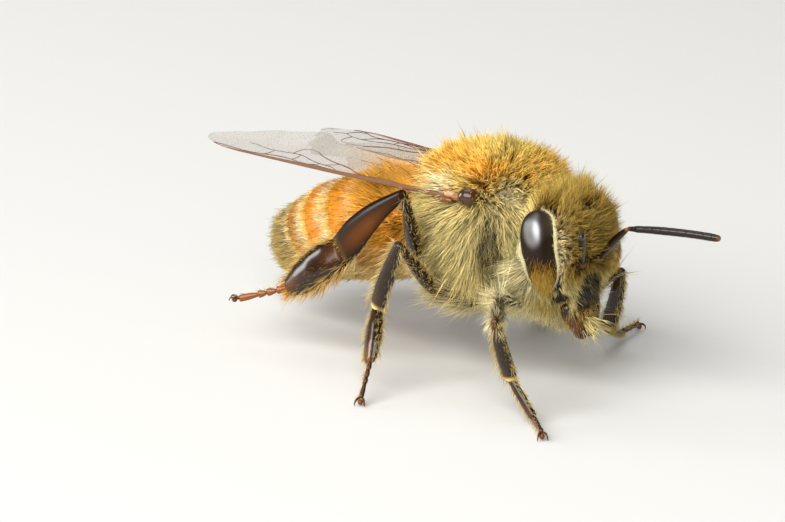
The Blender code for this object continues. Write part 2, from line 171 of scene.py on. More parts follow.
@dataclass(frozen=True)
class Stance:
    """How the bee's own frame stands in the world, read off the two wing-root caps."""

    nose_up: float = 6.0
    right_side_up: float = 3.0
    caps_middle: tuple[float, float, float] = (0.0, -0.42, 1.02)

    def turn(self) -> Array:
        """Rotation from the bee's frame to the world."""
        return turn_about(0, -self.nose_up) @ turn_about(1, self.right_side_up)

    def origin(self) -> Array:
        """The middle of the thorax in the world, in millimetres."""
        corners = [np.array(corner) for side in ("left", "right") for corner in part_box(f"tegula_{side}")]
        return sum(corners) / len(corners) / MM - self.turn() @ np.array(self.caps_middle)

    def to_world(self, points: Array) -> Array:
        """Points of the bee's frame, in millimetres, as world points in metres."""
        return (points @ self.turn().T + self.origin()) * MM


@dataclass(frozen=True)
class HeadPlace:
    """Where the head is seated: face a little down, crown tipped to the right."""

    forward: float = 2.22
    drop: float = 0.55
    pitch: float = 8.0
    roll: float = 5.0

    def turn(self) -> Array:
        """Rotation from the head's frame to the bee's."""
        return turn_about(0, self.pitch) @ turn_about(1, -self.roll)

    def out(self, points: Array) -> Array:
        """Head points in the bee's frame."""
        return points @ self.turn().T + np.array([0.0, -self.forward, -self.drop])

    def into(self, points: Array) -> Array:
        """Points of the bee's frame in the head's."""
        return (points - np.array([0.0, -self.forward, -self.drop])) @ self.turn()


STANCE = Stance()
HEAD = HeadPlace()


class Side(Enum):
    """A side of the bee; the value is the sign of x."""

    RIGHT = -1
    LEFT = 1

    @property
    def word(self) -> str:
        """The side's name in node names."""
        return self.name.lower()


# ---------------------------------------------------------------- modelling tools


def deselect() -> None:
    """Leave object mode with nothing selected."""
    if bpy.context.object and bpy.context.object.mode != "OBJECT":
        bpy.ops.object.mode_set(mode="OBJECT")
    bpy.ops.object.select_all(action="DESELECT")


def ball(name: str, around: int, rows: int) -> bpy.types.Object:
    """A unit sphere from which a closed form is shaped.

    The sphere tool gives its faces in an order that differs from run to run, and seeded hair
    picks its places by that order, so the faces are sorted by their lowest corners.

    Args:
        name: the object's name.
        around: vertices round it.
        rows: rings from pole to pole.

    Returns:
        The sphere.
    """
    deselect()
    bpy.ops.mesh.primitive_uv_sphere_add(segments=around, ring_count=rows, radius=1.0)
    made = bpy.context.object
    made.name = made.data.name = name
    mesh = bmesh.new()
    mesh.from_mesh(made.data)
    count = len(mesh.verts)

    def place(face: bmesh.types.BMFace) -> float:
        first, second, third = sorted(corner.index for corner in face.verts)[:3]
        return float((first * count + second) * count + third)

    mesh.faces.sort(key=place)
    mesh.to_mesh(made.data)
    mesh.free()
    return made


def points_of(piece: bpy.types.Object) -> Array:
    """The piece's vertices as an array."""
    flat = np.empty(len(piece.data.vertices) * 3, np.float32)
    piece.data.vertices.foreach_get("co", flat)
    return flat.reshape(-1, 3).astype(float)


def normals_of(piece: bpy.types.Object) -> Array:
    """The piece's vertex normals as an array."""
    flat = np.empty(len(piece.data.vertices) * 3, np.float32)
    piece.data.vertex_normals.foreach_get("vector", flat)
    return flat.reshape(-1, 3).astype(float)


def set_points(piece: bpy.types.Object, points: Array) -> None:
    """Move the piece's vertices."""
    piece.data.vertices.foreach_set("co", points.astype(np.float32).ravel())
    piece.data.update()


def face_out(piece: bpy.types.Object) -> None:
    """Merge doubled points and turn every face outward."""
    mesh = bmesh.new()
    mesh.from_mesh(piece.data)
    bmesh.ops.remove_doubles(mesh, verts=mesh.verts, dist=1e-6)
    bmesh.ops.recalc_face_normals(mesh, faces=mesh.faces)
    mesh.to_mesh(piece.data)
    mesh.free()


def shaped(name: str, around: int, rows: int, form: Callable[[Array, Array], Array]) -> bpy.types.Object:
    """A closed form made from a sphere by a rule.

    Args:
        name: the object's name.
        around: vertices round it.
        rows: rings from end to end.
        form: gives points from the place along (-1 to 1) and the angle round.

    Returns:
        The piece, its faces outward.
    """
    made = ball(name, around, rows)
    start = points_of(made)
    set_points(made, form(np.clip(start[:, 2], -1.0, 1.0), np.arctan2(start[:, 1], start[:, 0])))
    face_out(made)
    return made


def lump(centre: Sequence[float], radii: Sequence[float], head: bool = False) -> bpy.types.Object:
    """An ellipsoid that is merged into a larger form."""
    made = ball("lump", 20, 12)
    points = points_of(made) * np.array(radii) + np.array(centre)
    set_points(made, HEAD.out(points) if head else points)
    return made


def note(piece: bpy.types.Object, name: str, values: Array | float) -> None:
    """Write one number per vertex, for the shader to read."""
    layer = piece.data.attributes.get(name) or piece.data.attributes.new(name, "FLOAT", "POINT")
    layer.data.foreach_set("value", np.broadcast_to(values, len(piece.data.vertices)).astype(np.float32))


def tint(piece: bpy.types.Object, amber: Array | float, pale: Array | float = 0.0) -> None:
    """Write how amber and how pale the shell is."""
    note(piece, "amber", amber)
    note(piece, "pale", pale)


def joined(name: str, pieces: Sequence[bpy.types.Object]) -> bpy.types.Object:
    """Several objects as one."""
    deselect()
    for piece in pieces:
        piece.select_set(True)
    bpy.context.view_layer.objects.active = pieces[0]
    bpy.ops.object.join()
    made = bpy.context.object
    made.name = made.data.name = name
    return made


def with_modifier(piece: bpy.types.Object, kind: str, **settings: object) -> None:
    """Add a modifier and apply it."""
    deselect()
    piece.select_set(True)
    bpy.context.view_layer.objects.active = piece
    tool = piece.modifiers.new(kind.lower(), kind)
    for name, value in settings.items():
        setattr(tool, name, value)
    bpy.ops.object.modifier_apply(modifier=tool.name)


def limb_form(path: Array, wide: Array, deep: Array, across: Array) -> Callable[[Array, Array], Array]:
    """The rule of a closed limb along a path.

    Args:
        path: points along the limb's middle.
        wide: half width at each point.
        deep: half depth at each point.
        across: direction of the width.

    Returns:
        A form for shaped().
    """
    along = unit(np.gradient(path, axis=0))
    side = unit(across - along * np.sum(across * along, axis=1, keepdims=True))
    other = np.cross(along, side)
    run = np.r_[0.0, np.cumsum(np.linalg.norm(np.diff(path, axis=0), axis=1))]

    def read(values: Array, place: Array) -> Array:
        return np.stack([np.interp(place, run, column) for column in values.T], axis=1)

    def form(s: Array, angle: Array) -> Array:
        place = 0.5 * (s + 1.0) * run[-1]
        reach = np.minimum(place, run[-1] - place)
        half = np.interp(place, run, wide)
        thick = np.interp(place, run, deep)
        cap = np.minimum(half, thick)
        close = np.sqrt(np.clip(1.0 - np.clip(1.0 - reach / np.maximum(cap, 1e-6), 0.0, 1.0) ** 2, 0.0, 1.0))
        x = (half * close * np.cos(angle))[:, None]
        y = (thick * close * np.sin(angle))[:, None]
        return read(path, place) + read(side, place) * x + read(other, place) * y

    return form


def tube(name: str, path: Array, radius: Sequence[float] | Array, around: int, rows: int) -> bpy.types.Object:
    """A closed round limb along a path, its ends rounded.

    Args:
        name: the object's name.
        path: points along its middle.
        radius: radii, spread evenly along it.
        around: vertices round it.
        rows: rings along it.

    Returns:
        The piece.
    """
    radii = evenly(radius, np.linspace(0.0, 1.0, len(path)))
    across = np.tile([0.31, 0.17, 0.93], (len(path), 1))
    return shaped(name, around, rows, limb_form(path, radii, radii, across))


# ---------------------------------------------------------------- finishes


def grain_group() -> bpy.types.NodeTree:
    """The grain that skin, shell, wings and floor share, built once.

    Returns:
        A group that gives a value between Low and High, patchy at Scale.
    """
    made = bpy.data.node_groups.get("grain")
    if made:
        return made
    made = bpy.data.node_groups.new("grain", "ShaderNodeTree")
    made.interface.new_socket("Vector", in_out="INPUT", socket_type="NodeSocketVector")
    for name in ("Scale", "Detail", "Low", "High"):
        made.interface.new_socket(name, in_out="INPUT", socket_type="NodeSocketFloat")
    made.interface.new_socket("Value", in_out="OUTPUT", socket_type="NodeSocketFloat")
    source, target = made.nodes.new("NodeGroupInput"), made.nodes.new("NodeGroupOutput")
    noise, spread = made.nodes.new("ShaderNodeTexNoise"), made.nodes.new("ShaderNodeMapRange")
    for name in ("Vector", "Scale", "Detail"):
        made.links.new(source.outputs[name], noise.inputs[name])
    made.links.new(noise.outputs["Fac"], spread.inputs["Value"])
    made.links.new(source.outputs["Low"], spread.inputs["To Min"])
    made.links.new(source.outputs["High"], spread.inputs["To Max"])
    made.links.new(spread.outputs["Result"], target.inputs["Value"])
    return made


class Shader:
    """A material being wired up: its nodes, its links and its Principled shader."""

    def __init__(self, name: str) -> None:
        """Start an empty material.

        Args:
            name: the material's name.
        """
        self.material = bpy.data.materials.new(name)
        self.material.use_nodes = True
        self.tree = self.material.node_tree
        self.main = self.tree.nodes["Principled BSDF"]

    def node(self, kind: str, **settings: object) -> bpy.types.Node:
        """Add a node and set its properties."""
        made = self.tree.nodes.new(kind)
        for name, value in settings.items():
            setattr(made, name, value)
        return made

    def feed(self, socket: bpy.types.NodeSocket, value: object) -> None:
        """Give a socket a constant, or lead another socket into it."""
        if isinstance(value, bpy.types.NodeSocket):
            self.tree.links.new(value, socket)
        else:
            socket.default_value = value

    def read(self, name: str) -> bpy.types.NodeSocket:
        """The number written on the mesh under a name."""
        return self.node("ShaderNodeAttribute", attribute_name=name).outputs["Fac"]

    def place(self) -> bpy.types.NodeSocket:
        """Object coordinates."""
        return self.node("ShaderNodeTexCoord").outputs["Object"]

    def cells(self, scale: float) -> bpy.types.NodeSocket:
        """Distance from the middle of cells about 1 / scale metres across."""
        made = self.node("ShaderNodeTexVoronoi", feature="F1")
        self.feed(made.inputs["Scale"], scale)
        self.feed(made.inputs["Vector"], self.place())
        return made.outputs["Distance"]

    def grain(
        self, scale: float, detail: float = 2.0, low: float = 0.0, high: float = 1.0
    ) -> bpy.types.NodeSocket:
        """Patches about 1 / scale metres across, from low to high."""
        made = self.node("ShaderNodeGroup", node_tree=grain_group())
        for name, value in (("Scale", scale), ("Detail", detail), ("Low", low), ("High", high)):
            self.feed(made.inputs[name], value)
        self.feed(made.inputs["Vector"], self.place())
        return made.outputs["Value"]

    def maths(self, operation: str, *values: object, clamp: bool = False) -> bpy.types.NodeSocket:
        """One sum on sockets or numbers."""
        made = self.node("ShaderNodeMath", operation=operation, use_clamp=clamp)
        for socket, value in zip(made.inputs, values):
            self.feed(socket, value)
        return made.outputs[0]

    def mix(self, share: object, first: object, second: object) -> bpy.types.NodeSocket:
        """Mix two colours by a share; each may be a socket or a constant."""
        made = self.node("ShaderNodeMix", data_type="RGBA")
        for index, value in ((0, share), (6, first), (7, second)):
            self.feed(made.inputs[index], value)
        return made.outputs[2]

    def layers(self, base: object, *over: tuple[object, object]) -> bpy.types.NodeSocket:
        """Lay colours over a base one after another.

        Args:
            base: the first colour.
            over: pairs of a share, or the name of one on the mesh, and a colour.

        Returns:
            The last mix.
        """
        for share, colour in over:
            base = self.mix(self.read(share) if isinstance(share, str) else share, base, colour)
        return base

    def bump(self, height: bpy.types.NodeSocket, strength: float, depth: float) -> None:
        """Raise the surface by a height, depth metres at most."""
        made = self.node("ShaderNodeBump")
        for name, value in (("Strength", strength), ("Distance", depth), ("Height", height)):
            self.feed(made.inputs[name], value)
        self.value(Normal=made.outputs["Normal"])

    def value(self, **sockets: object) -> None:
        """Feed the Principled shader; underscores stand for spaces."""
        for name, value in sockets.items():
            self.feed(self.main.inputs[name.replace("_", " ")], value)


@dataclass(frozen=True)
class FurFinish:
    """Colour of the coat: straw, turning golden, cream or dark where the markings say.

    The tip is painted paler, a painted glow of lit hair tips, and the root painted darker,
    painted shade between the hairs, each by a share that golden and cream hair lose part of.
    """

    name: str = "fur"
    straw: tuple = linear(238, 204, 84)
    gold: tuple = linear(250, 168, 2)
    cream: tuple = linear(255, 246, 204)
    dark: tuple = linear(40, 28, 10)
    # root: painted shade between the hairs, laid on the lower part of each strand
    root: tuple = linear(44, 28, 5)
    # tip: painted glow of lit hair tips
    tip: tuple = linear(255, 242, 152)
    tip_glow_share: float = 0.70
    tip_glow_power: float = 1.3
    tip_glow_loss_gold: float = 0.68
    tip_glow_loss_cream: float = 0.55
    root_shade_share: float = 0.92
    root_shade_power: float = 0.95
    root_shade_loss_gold: float = 0.46
    root_shade_loss_cream: float = 0.45
    tone_low: float = 0.42
    tone_rise: float = 1.1
    roughness: float = 0.45
    specular: float = 0.14

    def material(self) -> bpy.types.Material:
        """Build the material."""
        made = Shader(self.name)

        def falling(share: float, first: str, loss: float, second: str, more: float) -> bpy.types.NodeSocket:
            kept = made.maths("MULTIPLY_ADD", made.read(first), -loss * share, share)
            taken = made.maths("MULTIPLY", made.read(second), more * share)
            return made.maths("SUBTRACT", kept, taken, clamp=True)

        along = made.read("along")
        # Painted glow toward the tip and painted shade toward the root of each strand.
        tip_glow_fade = made.maths("POWER", along, self.tip_glow_power)
        root_shade_fade = made.maths("POWER", made.maths("SUBTRACT", 1.0, along), self.root_shade_power)
        tip_glow_amount = falling(self.tip_glow_share, "gold", self.tip_glow_loss_gold, "cream", self.tip_glow_loss_cream)
        darker = falling(self.root_shade_share, "cream", self.root_shade_loss_cream, "gold", self.root_shade_loss_gold)
        colour = made.layers(self.straw, ("gold", self.gold), ("cream", self.cream),
                             # The paler tip is a painted glow; the darker root is painted shade.
                             (made.maths("MULTIPLY", tip_glow_fade, tip_glow_amount), self.tip),
                             (made.maths("MULTIPLY", root_shade_fade, darker), self.root), ("dark", self.dark))
        tone = made.maths("MULTIPLY_ADD", made.read("tone"), self.tone_rise, self.tone_low)
        hue = made.node("ShaderNodeHueSaturation")
        made.feed(hue.inputs["Value"], tone)
        made.feed(hue.inputs["Color"], colour)
        made.value(Base_Color=hue.outputs["Color"], Roughness=self.roughness,
                   Specular_IOR_Level=self.specular)
        return made.material


@dataclass(frozen=True)
class SkinFinish:
    """The shell under the coat: dark on head and thorax, orange and cream rings on the abdomen."""

    name: str = "skin"
    shell: tuple = linear(44, 28, 10)
    orange: tuple = linear(230, 134, 2)
    cream: tuple = linear(220, 178, 86)
    dark: tuple = linear(20, 14, 9)
    bare: tuple = linear(194, 178, 138)
    stain: float = 3500.0
    stain_share: float = 0.35
    roughness: float = 0.50
    specular: float = 0.28
    pits: float = 26000.0
    depth: float = 0.00002

    def material(self) -> bpy.types.Material:
        """Build the material."""
        made = Shader(self.name)
        stain = made.grain(self.stain, 4.0, 0.0, self.stain_share)
        colour = made.layers(self.shell, ("gold", self.orange), ("cream", self.cream), ("bare", self.bare),
                             ("dark", self.dark), (stain, self.dark))
        made.bump(made.grain(self.pits, 3.0), 0.5, self.depth)
        made.value(Base_Color=colour, Roughness=self.roughness, Specular_IOR_Level=self.specular)
        return made.material


@dataclass(frozen=True)
class ShellFinish:
    """Bare glossy shell of legs, feelers, jaws and caps, from dark brown through amber to pale yellow."""

    name: str = "shell"
    dark: tuple = linear(16, 8, 3)
    amber: tuple = linear(178, 100, 16)
    pale: tuple = linear(244, 214, 128)
    stain: float = 2600.0
    stain_share: float = 0.02
    roughness: float = 0.34
    roughness_range: float = 0.06
    smear: float = 9000.0
    specular: float = 0.03
    coat: float = 0.80
    coat_roughness: float = 0.18
    pits: float = 22000.0
    depth: float = 0.000003

    def material(self) -> bpy.types.Material:
        """Build the material."""
        made = Shader(self.name)
        stain = made.grain(self.stain, 3.0, 0.0, self.stain_share)
        amber = made.maths("ADD", made.read("amber"), stain, clamp=True)
        low, high = self.roughness - self.roughness_range, self.roughness + self.roughness_range
        made.bump(made.grain(self.pits), 0.5, self.depth)
        made.value(Base_Color=made.layers(self.dark, (amber, self.amber), ("pale", self.pale)),
                   Roughness=made.grain(self.smear, 2.0, low, high), Specular_IOR_Level=self.specular,
                   Coat_Weight=made.maths("MULTIPLY_ADD", made.read("matt"), -self.coat, self.coat),
                   Coat_Roughness=self.coat_roughness, Coat_IOR=1.5)
        return made.material


@dataclass(frozen=True)
class EyeFinish:
    """A compound eye: dark brown facets, warmer toward the lower end."""

    name: str = "compound_eye"
    dark: tuple = linear(34, 20, 8)
    warm: tuple = linear(58, 36, 8)
    seam: tuple = linear(20, 12, 8)
    seam_share: float = 0.7
    facet: float = 38000.0
    depth: float = 0.000006
    roughness: float = 0.40
    specular: float = 0.2
    coat_roughness: float = 0.42
    coat_ior: float = 2.8
    coat_tint: tuple = (0.93, 0.97, 1.0, 1.0)

    def material(self) -> bpy.types.Material:
        """Build the material."""
        made = Shader(self.name)
        away = made.cells(self.facet)
        seam = made.maths("MULTIPLY", away, self.seam_share)
        made.bump(made.maths("SUBTRACT", 1.0, away), 0.35, self.depth)
        made.value(Base_Color=made.layers(self.dark, ("warm", self.warm), (seam, self.seam)),
                   Coat_Weight=made.maths("SUBTRACT", 1.0, made.read("matt")),
                   Roughness=self.roughness, Specular_IOR_Level=self.specular,
                   Coat_Roughness=self.coat_roughness, Coat_IOR=self.coat_ior, Coat_Tint=self.coat_tint)
        return made.material


@dataclass(frozen=True)
class WingFinish:
    """A clear, smoky film, warmer near the root, with a fine golden down."""

    name: str = "wing_film"
    smoke: tuple = linear(120, 98, 52)
    amber: tuple = linear(244, 172, 62)
    down: tuple = linear(226, 190, 112)
    down_scale: float = 14000.0
    down_size: float = 0.22
    down_share: float = 0.55
    down_alpha: float = 0.3
    alpha_root: float = 0.33
    alpha_tip: float = 0.13
    crease: float = 5200.0
    depth: float = 0.00003

    def material(self) -> bpy.types.Material:
        """Build the material."""
        made = Shader(self.name)
        out = made.read("out")
        dots = made.maths("LESS_THAN", made.cells(self.down_scale), self.down_size)
        down = made.maths("MULTIPLY", dots, self.down_share)
        colour = made.layers(self.amber, (out, self.smoke), (down, self.down))
        film = made.maths("MULTIPLY_ADD", out, self.alpha_tip - self.alpha_root, self.alpha_root)
        alpha = made.maths("ADD", film, made.maths("MULTIPLY", dots, self.down_alpha))
        made.bump(made.grain(self.crease, 3.0), 0.6, self.depth)
        made.value(Base_Color=colour, Alpha=alpha, Roughness=0.2, Specular_IOR_Level=0.9, IOR=1.5)
        return made.material


@dataclass(frozen=True)
class FloorFinish:
    """A plain pale floor."""

    name: str = "floor"
    colour: tuple = linear(224, 223, 219)
    speck: tuple = linear(196, 195, 190)
    speck_scale: float = 400.0
    speck_share: float = 0.04
    roughness: float = 0.8

    def material(self) -> bpy.types.Material:
        """Build the material."""
        made = Shader(self.name)
        specks = made.grain(self.speck_scale, 2.0, 0.0, self.speck_share)
        made.value(Base_Color=made.mix(specks, self.colour, self.speck), Roughness=self.roughness)
        return made.material


class Finishes:
    """Every material of the model, each built once."""

    def __init__(self) -> None:
        """Build the materials."""
        self.fur = FurFinish().material()
        self.skin = SkinFinish().material()
        self.shell = ShellFinish().material()
        self.cap = ShellFinish("wing_cap", linear(34, 20, 15), roughness=0.16, coat=1.0).material()
        # The vein finish's pale colour is the wing plates' own pale, and on the leading veins a painted
        # highlight.
        self.vein = ShellFinish("wing_vein", linear(62, 26, 14), pale=linear(228, 196, 158),
                                coat=1.0).material()
        self.eye = EyeFinish().material()
        self.rim = ShellFinish("eye_rim", linear(196, 188, 148), linear(206, 188, 132), roughness=0.75,
                               coat=0.0, pits=34000.0, depth=0.00003).material()
        self.wing = WingFinish().material()


def hand_over(
    piece: bpy.types.Object, material: bpy.types.Material, nodes: Sequence[str] = ()
) -> bpy.types.Object:
    """Move a finished piece onto the solids, dress it and give it to the frame.

    Args:
        piece: the piece, in the bee's frame and millimetres.
        material: its finish.
        nodes: the solids it stands for.

    Returns:
        The piece.
    """
    set_points(piece, STANCE.to_world(points_of(piece)))
    piece.data.materials.clear()
    piece.data.materials.append(material)
    piece.data.shade_smooth()
    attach(piece, "root")
    if nodes:
        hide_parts(*nodes)
    LOG.info("%s: %d faces", piece.name, len(piece.data.polygons))
    return piece


# ---------------------------------------------------------------- the coat


@dataclass(frozen=True)
class Unwrap:
    """Rolls a surface off an axis onto a strip of the coat's map."""

    centre: tuple
    axis: tuple
    reach: float
    low: float = 0.02
    high: float = 0.98

    def place(self, points: Array) -> tuple[Array, Array]:
        """Map places of points: round the axis, and along it within the strip."""
        away = points - np.array(self.centre)
        axis = unit(np.array(self.axis))
        across = unit(np.cross(axis, np.array([0.37, 0.61, 0.70])))
        angle = np.arctan2(away @ np.cross(axis, across), away @ across)
        along = np.clip(away @ axis / self.reach, -1.0, 1.0)
        return 0.5 + 0.48 * angle / math.pi, self.low + (self.high - self.low) * (0.5 + 0.5 * along)


@dataclass
class Hide:
    """A surface that hair grows on, with what each of its points says about the coat."""

    points: Array
    normals: Array
    triangles: Array
    flow: Array
    fields: dict[str, Array]
    unwrap: Unwrap = Unwrap((0.0, 0.0, 0.0), (0.0, 0.0, 1.0), 3.0)

    @staticmethod
    def of(piece: bpy.types.Object) -> "Hide":
        """Read the surface of a piece in the bee's frame, with a plain coat on it.

        Args:
            piece: the piece, before it is handed over.

        Returns:
            The hide.
        """
        piece.data.calc_loop_triangles()
        flat = np.empty(len(piece.data.loop_triangles) * 3, np.int32)
        piece.data.loop_triangles.foreach_get("vertices", flat)
        points = points_of(piece)
        flow = np.tile([0.0, 1.0, 0.0], (len(points), 1))
        made = Hide(points, normals_of(piece), flat.reshape(-1, 3), flow, {})
        made.say(density=1.0, length=0.3, lift=0.5, curl=0.1, width=0.016, gold=0.0, cream=0.0, dark=0.0)
        return made

    def say(self, **values: Array | float) -> None:
        """Set what the points say about the coat; a number holds everywhere."""
        for name, value in values.items():
            self.fields[name] = np.broadcast_to(value, len(self.points)).astype(float)


@dataclass
class Roots:
    """Places picked on a hide, with the hide's values there."""

    root: Array
    normal: Array
    flow: Array
    value: dict[str, Array]

    @staticmethod
    def pick(hide: Hide, where: Array | float, count: int, rng: np.random.Generator) -> "Roots":
        """Pick places, the more of them the denser the coat.

        Args:
            hide: the surface.
            where: a mask over its points that limits the choice, or 1 for all of it.
            count: how many places.
            rng: the seeded generator.

        Returns:
            The places.
        """
        tri = hide.triangles
        a, b, c = (hide.points[tri[:, k]] for k in range(3))
        area = 0.5 * np.linalg.norm(np.cross(b - a, c - a), axis=1)
        odds = area * np.mean((hide.fields["density"] * where)[tri], axis=1)
        corners = tri[rng.choice(len(tri), count, p=odds / odds.sum())]
        r, q = np.sqrt(rng.random(count)), rng.random(count)
        weights = np.stack([1.0 - r, r * (1.0 - q), r * q], axis=1)

        def read(values: Array) -> Array:
            wide = weights if values.ndim == 1 else weights[:, :, None]
            return np.sum(values[corners] * wide, axis=1)

        normal, flow = unit(read(hide.normals)), read(hide.flow)
        flow = unit(flow - normal * np.sum(flow * normal, axis=1, keepdims=True))
        found = {name: read(values) for name, values in hide.fields.items()}
        return Roots(read(hide.points), normal, flow, found)


SWEEP = 0.55


@dataclass
class Tufts:
    """Where the tips of neighbouring strands draw together, and how light each tuft is.

    SWEEP is how far a flat-lying hair bends on along the coat's lie, as a share of its length.
    """

    tips: Array
    tones: Array
    tree: KDTree

    @staticmethod
    def over(
        hide: Hide, where: Array, count: int, seed: int, stray: float = 0.20, spread: float = 0.17
    ) -> "Tufts":
        """Spread tufts over a hide.

        Args:
            hide: the surface.
            where: a mask over its points that limits them.
            count: how many tufts.
            seed: seeds the choice.
            stray: how far their directions differ.
            spread: how far their lightness differs.

        Returns:
            The tufts.
        """
        rng = np.random.default_rng(seed)
        at = Roots.pick(hide, where, count, rng)
        lift = at.value["lift"][:, None]
        away = unit(at.normal * lift + at.flow * (1.0 - lift) + stray * rng.normal(size=(count, 3)))
        tips = at.root + at.value["length"][:, None] * (away + at.flow * (SWEEP * (1.0 - lift)))
        tree = KDTree(count)
        for k, place in enumerate(at.root):
            tree.insert(place, k)
        tree.balance()
        return Tufts(tips, spread * rng.normal(size=count), tree)

    def nearest(self, points: Array) -> Array:
        """Which tuft each point belongs to."""
        return np.array([self.tree.find(point)[1] for point in points])


@dataclass(frozen=True)
class Coat:
    """One piece of coat: tapered, three-sided closed strands, drawn together into tufts.

    Lengths and widths are shares of what the hide says; jitter and stray are how far tips and
    directions differ, tuft and tuft_size a gentle wave over the coat, patch the size of a
    strand on the coat's map, and clear and sunk the height over the floor and depth of the root.
    """

    name: str
    strands: int
    seed: int
    rings: int = 3
    stray: float = 0.20
    tuft: float = 0.13
    tuft_size: float = 0.42
    clump: float = 0.0
    taper: float = 0.75
    patch: float = 0.003
    clear: float = 0.03
    jitter: float = 0.10
    lengths: tuple[float, float] = (0.62, 1.18)
    long_odds: float = 0.10
    long_more: float = 0.32
    widths: tuple[float, float] = (0.75, 1.25)
    tones: float = 0.24
    curl_turn: float = 2.4 * math.pi
    sunk: float = 0.02
    waves: tuple = (((0.9, 0.5, 0.3), 0.4), ((-0.4, 0.8, 0.6), 1.9), ((0.5, -0.6, 0.8), 3.1))

    def grow(self, hide: Hide, material: bpy.types.Material,
             where: Array | float = 1.0, tufts: Tufts | None = None) -> None:
        """Grow the strands and hand the piece over.

        Args:
            hide: the surface.
            material: the fur's finish.
            where: a mask over its points that limits this piece, or 1 for all of it.
            tufts: the tufts that the strands are drawn into.
        """
        rng = np.random.default_rng(self.seed)
        count = self.strands
        at = Roots.pick(hide, where, count, rng)
        root, normal, flow, value = at.root, at.normal, at.flow, at.value
        value["u"], value["v"] = hide.unwrap.place(root)
        cells = 2.0 * math.pi / self.tuft_size
        wave = np.stack([np.sin(cells * (root @ np.array(k)) + start) for k, start in self.waves], axis=1)
        lift = value["lift"][:, None]
        away = unit(normal * lift + flow * (1.0 - lift) + self.stray * rng.normal(size=(count, 3)))
        bend = flow * (SWEEP * (1.0 - lift)) + self.tuft * wave + self.jitter * rng.normal(size=(count, 3))
        length = value["length"] * rng.uniform(*self.lengths, count)
        length = length * (1.0 + self.long_more * (rng.random(count) < self.long_odds))
        side = unit(np.cross(away, normal + 0.3 * rng.normal(size=(count, 3))))
        other = np.cross(away, side)
        phase = rng.uniform(0.0, 2.0 * math.pi, count)
        curl = value["curl"] * length
        value["tone"] = 0.5 + self.tones * rng.normal(size=count)
        pull = np.zeros((count, 3))
        if tufts:
            own = tufts.nearest(root)
            pull = self.clump * (tufts.tips[own] - root - length[:, None] * (away + bend))
            pull = pull - away * np.sum(pull * away, axis=1, keepdims=True)
            value["tone"] += tufts.tones[own]
        width = value["width"] * rng.uniform(*self.widths, count)
        verts = np.empty((count, 3 * self.rings + 1, 3))
        along = np.empty((count, 3 * self.rings + 1))
        for k, t in enumerate(np.linspace(0.0, 1.0, self.rings + 1)):
            swing = self.curl_turn * t + phase
            middle = root + length[:, None] * (away * t + bend * t * t) + pull * t**1.5
            middle = middle - normal * (self.sunk * (1.0 - t))
            round_it = side * np.cos(swing)[:, None] + other * np.sin(swing)[:, None]
            middle = middle + (curl * t)[:, None] * round_it
            if k == self.rings:
                verts[:, -1], along[:, -1] = middle, 1.0
                continue
            for j in range(3):
                angle = 2.0 * math.pi * j / 3.0
                spoke = side * math.cos(angle) + other * math.sin(angle)
                verts[:, 3 * k + j] = middle + spoke * (width * (1.0 - self.taper * t))[:, None]
            along[:, 3 * k : 3 * k + 3] = t
        above = STANCE.to_world(verts.reshape(-1, 3))[:, 2].reshape(count, -1) / MM
        high = STANCE.to_world(root)[:, 2] / MM - self.clear
        keep = np.clip(high / np.maximum(high + self.clear - above.min(axis=1), high), 0.02, 1.0)
        verts = root[:, None] + (verts - root[:, None]) * keep[:, None, None]
        hand_over(self.mesh(verts, along, value), material)

    def mesh(self, verts: Array, along: Array, value: dict[str, Array]) -> bpy.types.Object:
        """Make the mesh of all strands, with its notes and its OFBake map.

        Args:
            verts: points of each strand.
            along: share from root to tip of each point.
            value: the hide's fields at each root.

        Returns:
            The object.
        """
        count, each = along.shape
        faces = [(0, 2, 1)]
        for k in range(self.rings - 1):
            for j in range(3):
                a, b = 3 * k + j, 3 * k + (j + 1) % 3
                faces += [(a, b, b + 3), (a, b + 3, a + 3)]
        last = 3 * (self.rings - 1)
        faces += [(last + j, last + (j + 1) % 3, each - 1) for j in range(3)]
        tri = (np.array(faces)[None] + each * np.arange(count)[:, None, None]).reshape(-1)
        mesh = bpy.data.meshes.new(self.name)
        mesh.vertices.add(count * each)
        mesh.vertices.foreach_set("co", verts.astype(np.float32).ravel())
        mesh.loops.add(len(tri))
        mesh.loops.foreach_set("vertex_index", tri.astype(np.int32))
        mesh.polygons.add(len(tri) // 3)
        mesh.polygons.foreach_set("loop_start", np.arange(0, len(tri), 3, dtype=np.int32))
        mesh.update(calc_edges=True)
        piece = bpy.data.objects.new(self.name, mesh)
        bpy.context.scene.collection.objects.link(piece)
        for name in ("gold", "cream", "dark", "tone"):
            note(piece, name, np.repeat(np.clip(value[name], 0.0, 1.0), each))
        note(piece, "along", along.ravel())
        spread = np.array([[0.0, 0.5, 1.0][k % 3] if k < each - 1 else 0.5 for k in range(each)])
        u = value["u"][:, None] + self.patch * (spread[None] - 0.5)
        v = value["v"][:, None] + self.patch * (along - 0.5)
        uv = np.clip(np.stack([u.ravel(), v.ravel()], axis=1)[tri], 0.0, 1.0)
        mesh.uv_layers.new(name="OFBake").data.foreach_set("uv", uv.astype(np.float32).ravel())
        return piece


# ---------------------------------------------------------------- head parts


